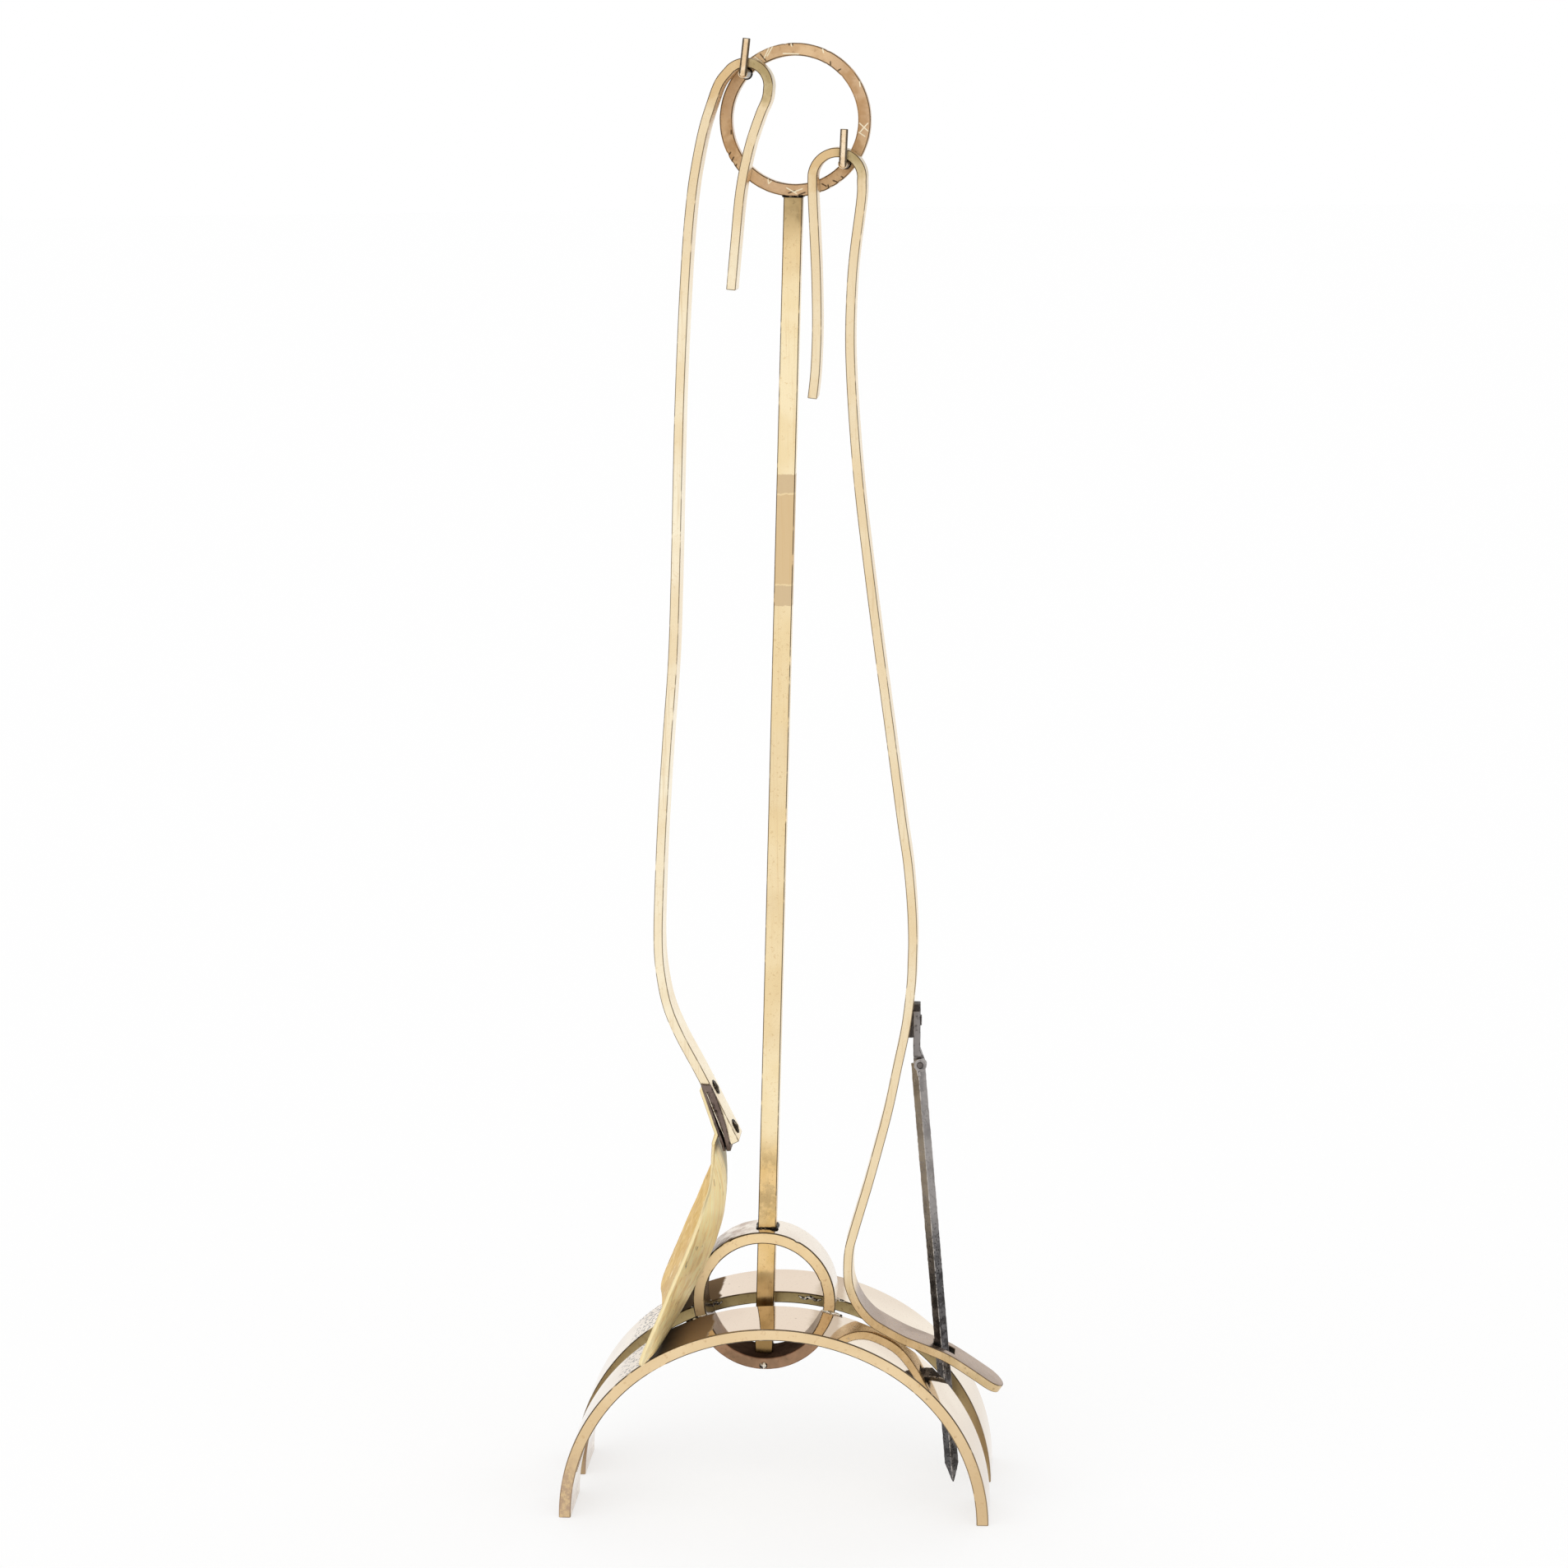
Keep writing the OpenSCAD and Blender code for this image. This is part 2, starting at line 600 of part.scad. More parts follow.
front_arch();
rear_arch();
base_ring();
post();
post_foot_rivet();
top_ring();
upper_hanging_pin();
upper_pin_upright();
lower_hanging_pin();
lower_pin_upright();
shovel_bar();
shovel_socket();
shovel_rivets();
shovel_pan();
poker_bar();
spike_bracket();
bracket_rivet();
spike_strap();
spike_rivet();
spike();
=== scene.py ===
import json
import math

import bmesh
import bpy
from mathutils import Matrix, Vector, noise


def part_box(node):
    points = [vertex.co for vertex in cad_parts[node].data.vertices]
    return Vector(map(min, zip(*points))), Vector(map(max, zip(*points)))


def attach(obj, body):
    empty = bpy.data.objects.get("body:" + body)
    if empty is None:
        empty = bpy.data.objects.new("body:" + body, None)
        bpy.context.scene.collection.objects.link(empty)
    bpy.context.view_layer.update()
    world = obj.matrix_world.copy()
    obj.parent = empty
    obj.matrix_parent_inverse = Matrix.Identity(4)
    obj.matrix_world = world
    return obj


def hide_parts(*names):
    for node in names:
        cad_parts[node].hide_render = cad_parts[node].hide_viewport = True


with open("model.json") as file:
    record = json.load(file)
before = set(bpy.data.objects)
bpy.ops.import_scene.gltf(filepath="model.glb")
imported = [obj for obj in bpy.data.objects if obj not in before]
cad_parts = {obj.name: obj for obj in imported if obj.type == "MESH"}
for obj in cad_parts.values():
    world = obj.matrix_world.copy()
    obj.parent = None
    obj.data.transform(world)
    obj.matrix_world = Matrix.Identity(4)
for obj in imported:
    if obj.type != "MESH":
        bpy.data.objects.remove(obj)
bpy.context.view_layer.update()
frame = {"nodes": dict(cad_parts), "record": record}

BODY = {n: b for b, nodes in frame["record"]["behaviour"]["bodies"].items() for n in nodes}
MM = 0.001
WALL = 6.35 * MM             # thickness of the arches and the rings
SHEET = 1.8 * MM             # thickness of the pan
ARCH_RADIUS = 123.5 * MM     # of the top of both arches
POST_LEAN = math.radians(2)  # to the right
FINEST_MARK = 0.05 * MM      # height of the finest marks in the metal


# ---------------------------------------------------------------- camera, light and stage

def camera():
    """A long lens level with the top ring, turned a little left and down."""
    data = bpy.data.cameras.new("camera")
    data.sensor_width = 36.0
    data.lens = 83.36
    data.clip_start, data.clip_end = 0.05, 80.0
    cam = bpy.data.objects.new("camera", data)
    bpy.context.scene.collection.objects.link(cam)
    yaw, pitch, roll = math.radians(4.450), math.radians(10.636), math.radians(-0.557)
    ahead = Vector((-math.sin(yaw) * math.cos(pitch), math.cos(yaw) * math.cos(pitch), -math.sin(pitch)))
    level = ahead.cross(Vector((0, 0, 1))).normalized()
    upright = level.cross(ahead)
    right = math.cos(roll) * level + math.sin(roll) * upright
    up = -math.sin(roll) * level + math.cos(roll) * upright
    turn = Matrix((right, up, -ahead)).transposed().to_4x4()
    turn.translation = Vector((0.14672, -1.83859, 0.73603))
    cam.matrix_world = turn
    bpy.context.scene.camera = cam


class Graph:
    """A node tree, with short ways to add the nodes that the metals are made of."""

    def __init__(self, tree):
        self.tree = tree
        coords = self.add("ShaderNodeTexCoord")
        self.place, self.normal = coords.outputs["Object"], coords.outputs["Normal"]
        self.direction = coords.outputs["Generated"]

    def add(self, kind, **settings):
        node = self.tree.nodes.new(kind)
        for key, value in settings.items():
            setattr(node, key, value)
        return node

    def put(self, socket, value):
        if isinstance(value, bpy.types.NodeSocket):
            self.tree.links.new(value, socket)
        else:
            socket.default_value = value

    def math(self, operation, a, b=0.0, clamp=False):
        node = self.add("ShaderNodeMath", operation=operation, use_clamp=clamp)
        self.put(node.inputs[0], a)
        self.put(node.inputs[1], b)
        return node.outputs[0]

    def times(self, *values):
        total = values[0]
        for value in values[1:]:
            total = self.math("MULTIPLY", total, value)
        return total

    def vectors(self, operation, a, b):
        node = self.add("ShaderNodeVectorMath", operation=operation)
        self.put(node.inputs[0], a)
        self.put(node.inputs[1], b)
        return node.outputs["Value" if operation == "DOT_PRODUCT" else "Vector"]

    def most(self, *values):
        total = values[0]
        for value in values[1:]:
            total = self.math("MAXIMUM", total, value)
        return total

    def step(self, value, start, end):
        """0 below start and 1 above end, or the other way round where start is the higher one."""
        node = self.add("ShaderNodeMapRange", interpolation_type="SMOOTHSTEP")
        self.put(node.inputs["Value"], value)
        low, high = min(start, end), max(start, end)
        node.inputs["From Min"].default_value, node.inputs["From Max"].default_value = low, high
        node.inputs["To Min"].default_value = 0.0 if start < end else 1.0
        node.inputs["To Max"].default_value = 1.0 if start < end else 0.0
        return node.outputs["Result"]

    def band(self, value, low, high, soft):
        """1 between low and high."""
        above = self.step(value, low - soft, low + soft)
        return self.times(above, self.step(value, high + soft, high - soft))

    def spread(self, value, low, high):
        """Takes 0 to 1 on to low to high."""
        return self.math("ADD", self.times(value, high - low), low)

    def off(self, value, middle):
        """How far value is from middle, on either side."""
        return self.math("ABSOLUTE", self.math("SUBTRACT", value, middle))

    def ragged(self, value, noise, size):
        """value, moved up and down by noise, so that a line drawn at it is uneven."""
        return self.math("ADD", value, self.times(self.math("SUBTRACT", noise, 0.5), size))

    def mix(self, amount, a, b):
        node = self.add("ShaderNodeMix", data_type="RGBA")
        self.put(node.inputs[0], amount)
        self.put(node.inputs[6], a)
        self.put(node.inputs[7], b)
        return node.outputs[2]

    def axis(self, name, vector=None):
        node = self.add("ShaderNodeSeparateXYZ")
        self.put(node.inputs[0], vector or self.place)
        return node.outputs[name]

    def stretched(self, scale):
        node = self.add("ShaderNodeMapping")
        self.put(node.inputs["Vector"], self.place)
        node.inputs["Scale"].default_value = scale
        return node.outputs["Vector"]

    def noise(self, scale, detail=4.0, rough=0.55, stretch=None, warp=0.0):
        node = self.add("ShaderNodeTexNoise")
        self.put(node.inputs["Vector"], self.stretched(stretch) if stretch else self.place)
        node.inputs["Scale"].default_value = scale
        node.inputs["Detail"].default_value = detail
        node.inputs["Roughness"].default_value = rough
        node.inputs["Distortion"].default_value = warp
        return node.outputs["Fac"]

    def pits(self, scale, size, share):
        """1 inside round specks. size is their radius, and share is how much of the metal has them."""
        node = self.add("ShaderNodeTexVoronoi", feature="F1")
        self.put(node.inputs["Vector"], self.place)
        node.inputs["Scale"].default_value = scale
        where = self.step(self.noise(scale * 0.13, 2.0), 1.0 - share, 1.08 - share)
        return self.times(self.step(node.outputs["Distance"], size, size * 0.5), where)

    def scratches(self, scale, across, amount):
        """Thin straight marks, long where across is small."""
        fine = self.noise(scale, 2.0, 0.4, across)
        where = self.step(self.noise(scale * 0.03, 2.0), 0.5, 0.62)
        return self.times(self.step(fine, 0.64, 0.70), where, amount)

    def stroke(self, start, end, width):
        """A straight mark from start to end, both (x, z), on a face that looks along y."""
        run = Vector((end[0] - start[0], 0.0, end[1] - start[1]))
        length = run.length
        run.normalize()
        aside = Vector((-run.z, 0.0, run.x))
        origin = Vector((start[0], 0.0, start[1]))
        along = self.math("SUBTRACT", self.vectors("DOT_PRODUCT", self.place, run), run.dot(origin))
        off = self.off(self.vectors("DOT_PRODUCT", self.place, aside), aside.dot(origin))
        return self.times(self.step(off, width, width * 0.4), self.band(along, 0.0, length, width))

    def attribute(self, name):
        node = self.add("ShaderNodeAttribute", attribute_name=name)
        return node.outputs["Fac"]


def tone(red, green, blue):
    """A colour given in the 0 to 255 steps of a screen, as the linear light that the shaders take."""
    def linear(step):
        share = step / 255.0
        return share / 12.92 if share <= 0.04045 else ((share + 0.055) / 1.055) ** 2.4
    return (linear(red), linear(green), linear(blue), 1.0)


def studio():
    """Bright on all sides, with dark strips to the left, to the right and overhead, which draw the edges."""
    world = bpy.data.worlds.new("studio")
    world.use_nodes = True
    g = Graph(world.node_tree)
    sideways = g.axis("X", g.direction)
    overhead = g.axis("Z", g.direction)
    strips = g.most(g.step(sideways, 0.82, 0.93), g.step(sideways, -0.8, -0.94))
    dark = g.most(g.times(strips, g.step(overhead, 0.6, 0.35)), g.step(overhead, 0.84, 0.95))
    level = g.spread(dark, 1.03, 0.08)
    g.put(world.node_tree.nodes["Background"].inputs["Strength"], level)
    world.node_tree.nodes["Background"].inputs["Color"].default_value = (1.0, 1.0, 1.0, 1.0)
    bpy.context.scene.world = world
    bpy.context.scene.view_settings.view_transform = "Standard"

    data = bpy.data.lights.new("soft_sky", "SUN")
    data.energy = 0.5
    data.angle = math.radians(70)
    lamp = bpy.data.objects.new("soft_sky", data)
    bpy.context.scene.collection.objects.link(lamp)
    lamp.rotation_euler = (math.radians(25), math.radians(-15), 0.0)
    lamp.visible_glossy = False


def staged(name, corners, faces, base, glow):
    """A surface of the studio, matt and lit from within."""
    mesh = bpy.data.meshes.new(name)
    mesh.from_pydata(corners, [], faces)
    surface = bpy.data.objects.new(name, mesh)
    bpy.context.scene.collection.objects.link(surface)
    material = bpy.data.materials.new(name)
    material.use_nodes = True
    shader = material.node_tree.nodes["Principled BSDF"]
    shader.inputs["Base Color"].default_value = (base, base, base, 1.0)
    shader.inputs["Emission Color"].default_value = (1.0, 1.0, 1.0, 1.0)
    shader.inputs["Emission Strength"].default_value = glow
    shader.inputs["Roughness"].default_value = 0.9
    shader.inputs["Specular IOR Level"].default_value = 0.0
    mesh.materials.append(material)
    return surface


def pale_floor():
    """A white table lit through from below, which keeps the shadows faint."""
    half = 25.0
    corners = [(-half, -half, 0), (half, -half, 0), (half, half, 0), (-half, half, 0)]
    staged("floor", corners, [(0, 1, 2, 3)], 0.38, 0.64)


def pale_wall():
    """A round white wall behind everything, which only the camera sees: the light comes through it."""
    radius, bottom, top, sides = 24.0, -0.5, 24.0, 96
    turns = [2 * math.pi * k / sides for k in range(sides)]
    corners = [(radius * math.cos(t), radius * math.sin(t), z) for z in (bottom, top) for t in turns]
    faces = [((k + 1) % sides, k, sides + k, sides + (k + 1) % sides) for k in range(sides)]
    wall = staged("wall", corners, faces, 0.0, 1.0)
    wall.visible_diffuse = False
    wall.visible_glossy = False
    wall.visible_transmission = False
    wall.visible_volume_scatter = False
    wall.visible_shadow = False


# ---------------------------------------------------------------- metals

def metal(name):
    material = bpy.data.materials.new(name)
    material.use_nodes = True
    g = Graph(material.node_tree)
    g.shader = material.node_tree.nodes["Principled BSDF"]
    g.shader.inputs["Metallic"].default_value = 1.0
    g.material = material
    return g


def finish_metal(g, colour, rough, height, depth):
    """Joins a metal's colour, roughness and surface height to its shader. depth is that height in metres."""
    g.put(g.shader.inputs["Base Color"], colour)
    g.put(g.shader.inputs["Roughness"], rough)
    bump = g.add("ShaderNodeBump")
    bump.inputs["Strength"].default_value = 1.0
    bump.inputs["Distance"].default_value = depth
    g.put(bump.inputs["Height"], height)
    g.put(g.shader.inputs["Normal"], bump.outputs["Normal"])
    return g.material


def make_matt(g, share, metallic=1.0, specular=0.0):
    """Painted shade and dark reflections, and the pan's darkened back, don't shine: they stop being metal
    where share is 1.
    """
    g.put(g.shader.inputs["Metallic"], g.spread(share, metallic, 0.0))
    g.shader.inputs["Specular IOR Level"].default_value = specular


def mottled(g, tones, broad_scale, fine_scale, warp=0.3):
    """Three tones: the first two in broad patches, the third in fine flecks."""
    patches = g.step(g.noise(broad_scale, 3.0, 0.5, warp=warp), 0.38, 0.62)
    flecks = g.step(g.noise(fine_scale, 4.0, 0.65), 0.56, 0.72)
    return g.mix(g.times(flecks, 0.6), g.mix(patches, tones[0], tones[1]), tones[2])


def edge_lines(g, colour, worn, amount=0.9):
    """Darkened arrises, broken by wear."""
    broken = g.step(g.noise(90.0, 3.0), 0.3, 0.44)
    return g.mix(g.times(g.attribute("edge"), broken, amount), colour, worn)


def bent_stock(name, centre, flat, outer, inner, shine, shaded=None):
    """Arches and rings: one set of tones for the flat edges, one for the outer face, one for the inner face.

    shaded is for a flat edge that is painted darker, as shade, where it faces the gap between the arches: the
    sign of its y, its tones and where it has them. shine is the roughness of the brightest part.
    """
    g = metal(name)
    across = g.vectors("MULTIPLY", g.vectors("SUBTRACT", g.place, centre), (1.0, 0.0, 1.0))
    facing = g.vectors("DOT_PRODUCT", across, g.normal)
    is_flat = g.step(g.math("ABSOLUTE", g.axis("Y", g.normal)), 0.6, 0.8)
    is_outer = g.step(facing, -0.002, 0.002)
    round_face = g.mix(is_outer, mottled(g, inner, 30.0, 500.0), mottled(g, outer, 14.0, 900.0))
    colour = g.mix(is_flat, round_face, mottled(g, flat, 22.0, 420.0))
    if shaded:
        turned, tones, patch = shaded
        # Painted shade on the flat edge that faces the gap between the arches.
        faces_gap = g.times(g.step(g.times(g.axis("Y", g.normal), turned), 0.6, 0.8), patch(g))
        colour = g.mix(faces_gap, colour, mottled(g, tones, 30.0, 420.0))
    specks = g.pits(170.0, 0.14, 0.46)
    colour = g.mix(g.times(specks, g.spread(is_flat, 0.85, 0.3)), colour, tone(74, 60, 48))
    colour = edge_lines(g, colour, tone(60, 46, 30))
    grain = g.noise(700.0, 3.0, 0.6)
    worn = g.math("ADD", g.times(is_flat, 0.6), g.times(grain, g.spread(is_flat, 0.12, 0.4)))
    rough = g.spread(worn, shine, shine + 0.36)
    height = g.math("SUBTRACT", g.times(grain, g.spread(is_flat, 0.04, 0.3)), specks)
    return g, colour, rough, height


def arch_metal(node):
    lo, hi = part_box(node)
    centre = ((lo.x + hi.x) / 2, 0.0, 0.0)
    flat = (tone(238, 212, 170), tone(230, 202, 158), tone(206, 170, 124))
    outer = (tone(240, 226, 206), tone(228, 212, 192), tone(200, 182, 162))
    inner = (tone(250, 243, 230), tone(244, 234, 218), tone(220, 204, 182))
    olive = (tone(160, 142, 98), tone(134, 116, 74), tone(98, 80, 50))

    def crown(g):
        return g.spread(g.step(g.off(g.axis("X"), centre[0]), 0.085, 0.045), 0.78, 0.9)

    # The flat edge that faces the other arch gets olive painted shade, most of it at the crown.
    gap_side = 1.0 if node == "front_arch" else -1.0
    g, colour, rough, height = bent_stock("arch_brass_" + node, centre, flat, outer, inner, 0.03,
                                          (gap_side, olive, crown))
    colour = g.mix(g.times(g.step(g.axis("Z"), 0.075, 0.02), 0.45), colour, tone(196, 166, 126))
    # The left end of an arch is stained where it stands on the hearth.
    low = g.step(g.math("ADD", g.axis("Z"), g.times(g.noise(60.0), 0.05)), 0.068, 0.04)
    stain = g.times(low, g.step(g.noise(260.0, 5.0, 0.7), 0.4, 0.58), g.step(g.axis("X"), -0.07, -0.1))
    colour = g.mix(g.times(stain, 0.75), colour, tone(176, 148, 128))
    # Reflections are painted on the tops: the base ring's, brown on both sides of it and pale between them,
    # and the pan's back, black under the pan's lip.
    lip_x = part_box("shovel_pan")[0].x + 0.004
    ring_lo, ring_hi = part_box("base_ring")
    top = g.times(g.step(g.axis("Z", g.normal), 0.5, 0.62), g.step(g.axis("Z"), 0.06, 0.066))
    drift = g.ragged(g.axis("X"), g.noise(70.0, 3.0), 0.006)
    left = g.band(drift, lip_x, ring_lo.x + 0.012, 0.001)
    right = g.band(drift, ring_hi.x - 0.012, ring_hi.x + 0.003, 0.002)
    dark_reflection_fade = g.step(drift, lip_x + 0.004, ring_lo.x + 0.004)
    dark_reflection = g.mix(dark_reflection_fade, tone(20, 15, 12), tone(140, 110, 76))
    middle = g.band(drift, ring_lo.x + 0.012, ring_hi.x - 0.012, 0.002)
    colour = g.mix(g.times(top, middle, 0.5), colour, tone(214, 186, 160))
    colour = g.mix(g.times(top, left, 0.92), colour, dark_reflection)
    colour = g.mix(g.times(top, right, 0.6), colour, tone(160, 124, 80))
    beside_lip = g.band(g.axis("X"), lip_x - 0.017, lip_x - 0.002, 0.002)
    chips = g.times(g.pits(520.0, 0.5, 0.7), top, beside_lip)
    colour = g.mix(chips, colour, tone(30, 24, 20))
    # The painted dark reflection under the pan's lip is made matt as well.
    dull = g.times(top, left, 0.9)
    make_matt(g, dull)
    return finish_metal(g, colour, g.most(rough, dull), height, FINEST_MARK)


def base_ring_metal():
    lo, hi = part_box("base_ring")
    centre = ((lo.x + hi.x) / 2, 0.0, (lo.z + hi.z) / 2)
    flat = (tone(252, 226, 180), tone(242, 214, 166), tone(210, 172, 128))
    outer = (tone(242, 232, 218), tone(226, 212, 196), tone(182, 162, 142))
    inner = (tone(112, 84, 54), tone(86, 64, 44), tone(54, 40, 30))
    g, colour, rough, height = bent_stock("base_ring_brass", centre, flat, outer, inner, 0.16)
    level = g.axis("Z")
    outside = g.step(g.math("ABSOLUTE", g.axis("Y", g.normal)), 0.6, 0.3)
    # Painted shade: the lower part of the ring, under and between the arches, is browner, and its round faces
    # there are black and matt.
    low = g.step(level, centre[2] - 0.012, centre[2] - 0.02)
    darkest = g.times(low, outside, g.spread(g.noise(240.0, 4.0), 0.7, 1.0))
    brown = mottled(g, (tone(150, 112, 88), tone(122, 90, 70), tone(76, 56, 44)), 90.0, 500.0)
    black = mottled(g, (tone(70, 54, 44), tone(46, 36, 30), tone(28, 22, 20)), 60.0, 500.0)
    colour = g.mix(g.times(low, 0.9), colour, brown)
    colour = g.mix(darkest, colour, black)
    make_matt(g, darkest)
    rough = g.most(rough, g.times(darkest, 0.95))
    on_left = g.step(g.axis("X"), centre[0], centre[0] - 0.014)
    on_top = g.step(level, centre[2] + 0.004, centre[2] + 0.016)
    rosy = g.times(on_left, on_top, outside, g.step(g.noise(120.0, 3.0), 0.35, 0.6))
    colour = g.mix(g.times(rosy, 0.7), colour, tone(150, 112, 84))
    return finish_metal(g, colour, rough, height, FINEST_MARK)


# Marks on the top ring's front, as degrees round it and mm from its centre, at both ends.
RING_SCRATCHES = (
    (106.7, 38.0, 113.6, 34.4), (109.5, 38.0, 116.5, 34.2), (122.5, 37.4, 118.5, 32.0),
    (68.0, 37.8, 66.0, 36.0), (-3.0, 32.4, -9.0, 37.2), (-2.7, 36.8, -11.0, 33.2), (-11.0, 32.6, -13.5, 36.4),
    (92.6, 37.9, 92.0, 36.3), (244.5, 32.2, 246.5, 34.4), (246.5, 34.4, 248.0, 32.4),
    (30.0, 37.6, 26.0, 36.6), (100.0, 33.4, 86.0, 32.6), (268.0, 35.8, 276.0, 34.2),
    (262.0, 33.8, 271.0, 36.6))
RING_CUTS = (
    (91.4, 37.9, 91.4, 36.6), (94.0, 37.9, 94.0, 36.8), (117.8, 37.2, 116.0, 32.6), (56.0, 32.4, 58.0, 34.0),
    (48.0, 32.4, 47.0, 34.2), (207.0, 38.0, 205.5, 36.0), (212.0, 38.0, 210.0, 35.8),
    (217.0, 38.0, 216.0, 36.6), (-67.5, 34.2, -64.5, 36.6), (-64.0, 37.9, -63.0, 36.0),
    (-55.5, 37.6, -58.0, 35.4), (-50.0, 37.8, -50.6, 36.2), (264.0, 36.4, 270.0, 35.0),
    (272.0, 37.2, 278.0, 36.2), (192.0, 33.0, 188.0, 32.6))
SCRATCH_WIDTH, CUT_WIDTH = 0.42 * MM, 0.5 * MM


def top_ring_metal():
    lo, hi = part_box("top_ring")
    centre = ((lo.x + hi.x) / 2, 0.0, (lo.z + hi.z) / 2)
    flat = (tone(222, 190, 154), tone(238, 206, 164), tone(184, 150, 116))
    outer = (tone(224, 196, 154), tone(196, 164, 122), tone(140, 112, 80))
    g, colour, rough, height = bent_stock("top_ring_brass", centre, flat, outer, outer, 0.22)
    scored = g.scratches(130.0, (6.0, 1.0, 0.5), 0.9)
    colour = g.mix(scored, colour, tone(252, 234, 200))
    # The ring is browner at its sides.
    at_side = g.spread(g.step(g.off(g.axis("X"), centre[0]), 0.014, 0.03), 0.6, 1.0)
    patches = g.spread(g.step(g.noise(60.0, 3.0, 0.6), 0.45, 0.6), 0.3, 0.9)
    colour = g.mix(g.times(at_side, patches), colour, tone(192, 152, 108))

    def at(degrees, r):
        turn = math.radians(degrees)
        return (centre[0] + r * MM * math.cos(turn), centre[2] + r * MM * math.sin(turn))

    def strokes(marks, width):
        return g.most(*(g.stroke(at(*mark[:2]), at(*mark[2:]), width) for mark in marks))

    bright, dark = strokes(RING_SCRATCHES, SCRATCH_WIDTH), strokes(RING_CUTS, CUT_WIDTH)
    colour = g.mix(g.times(dark, 0.85), colour, tone(62, 46, 30))
    colour = g.mix(g.times(bright, 0.9), colour, tone(255, 244, 216))
    height = g.math("SUBTRACT", height, g.most(bright, dark))
    return finish_metal(g, colour, rough, height, FINEST_MARK)


def post_metal():
    """Square bar, with tarnished bands, and a tan band across it that is a painted reflection, with pale
    lines at its edges.
    """
    g = metal("post_brass")
    height = g.ragged(g.axis("Z"), g.noise(420.0, 2.0), 0.002)
    pale = mottled(g, (tone(250, 232, 192), tone(244, 222, 176), tone(228, 196, 146)), 30.0, 600.0)
    golden = mottled(g, (tone(234, 206, 156), tone(220, 188, 136), tone(186, 150, 100)), 34.0, 600.0)
    honey = mottled(g, (tone(238, 204, 146), tone(228, 191, 126), tone(188, 148, 92)), 60.0, 600.0)
    colour = g.mix(g.step(height, 0.208, 0.172), pale, honey)
    dim = g.band(height, 0.245, 0.52, 0.012)
    colour = g.mix(g.times(dim, 0.4), colour, golden)
    # A painted reflection: a tan band across the bar, with pale lines at its edges.
    reflected_band = g.band(height, 0.481, 0.5488, 0.0002)
    reflected_band_inner = g.band(height, 0.4916, 0.539, 0.0002)
    tan = g.mix(reflected_band_inner, tone(216, 191, 152), tone(222, 194, 150))
    line = g.most(g.band(height, 0.5382, 0.5392, 0.0002), g.band(height, 0.4914, 0.4922, 0.0002))
    colour = g.mix(reflected_band, colour, g.mix(g.times(line, 0.6), tan, tone(248, 226, 180)))
    olive = mottled(g, (tone(196, 170, 124), tone(162, 138, 96), tone(112, 92, 60)), 70.0, 520.0)
    colour = g.mix(g.times(g.step(height, 0.638, 0.662), 0.8), colour, golden)
    crown = g.step(height, 0.662, 0.686)
    low_patina = g.band(height, 0.150, 0.188, 0.012)
    inside = g.step(height, 0.1245, 0.1215)
    blotch = g.step(g.noise(110.0, 5.0, 0.6), 0.42, 0.56)
    tarnished = g.most(crown, g.times(low_patina, blotch, 0.6), g.times(inside, 0.8))
    colour = g.mix(tarnished, colour, olive)
    colour = g.mix(g.step(height, 0.109, 0.105), colour, tone(150, 120, 76))
    streaks = g.noise(1.0, 3.0, 0.6, (900.0, 900.0, 18.0))
    colour = g.mix(g.times(g.step(streaks, 0.55, 0.75), 0.3), colour, tone(214, 176, 120))
    colour = edge_lines(g, colour, tone(76, 58, 36), 0.85)
    dull = g.math("ADD", g.times(streaks, 0.5), g.times(g.most(crown, reflected_band), 0.5))
    return finish_metal(g, colour, g.spread(dull, 0.16, 0.5), g.times(streaks, 0.6), FINEST_MARK)


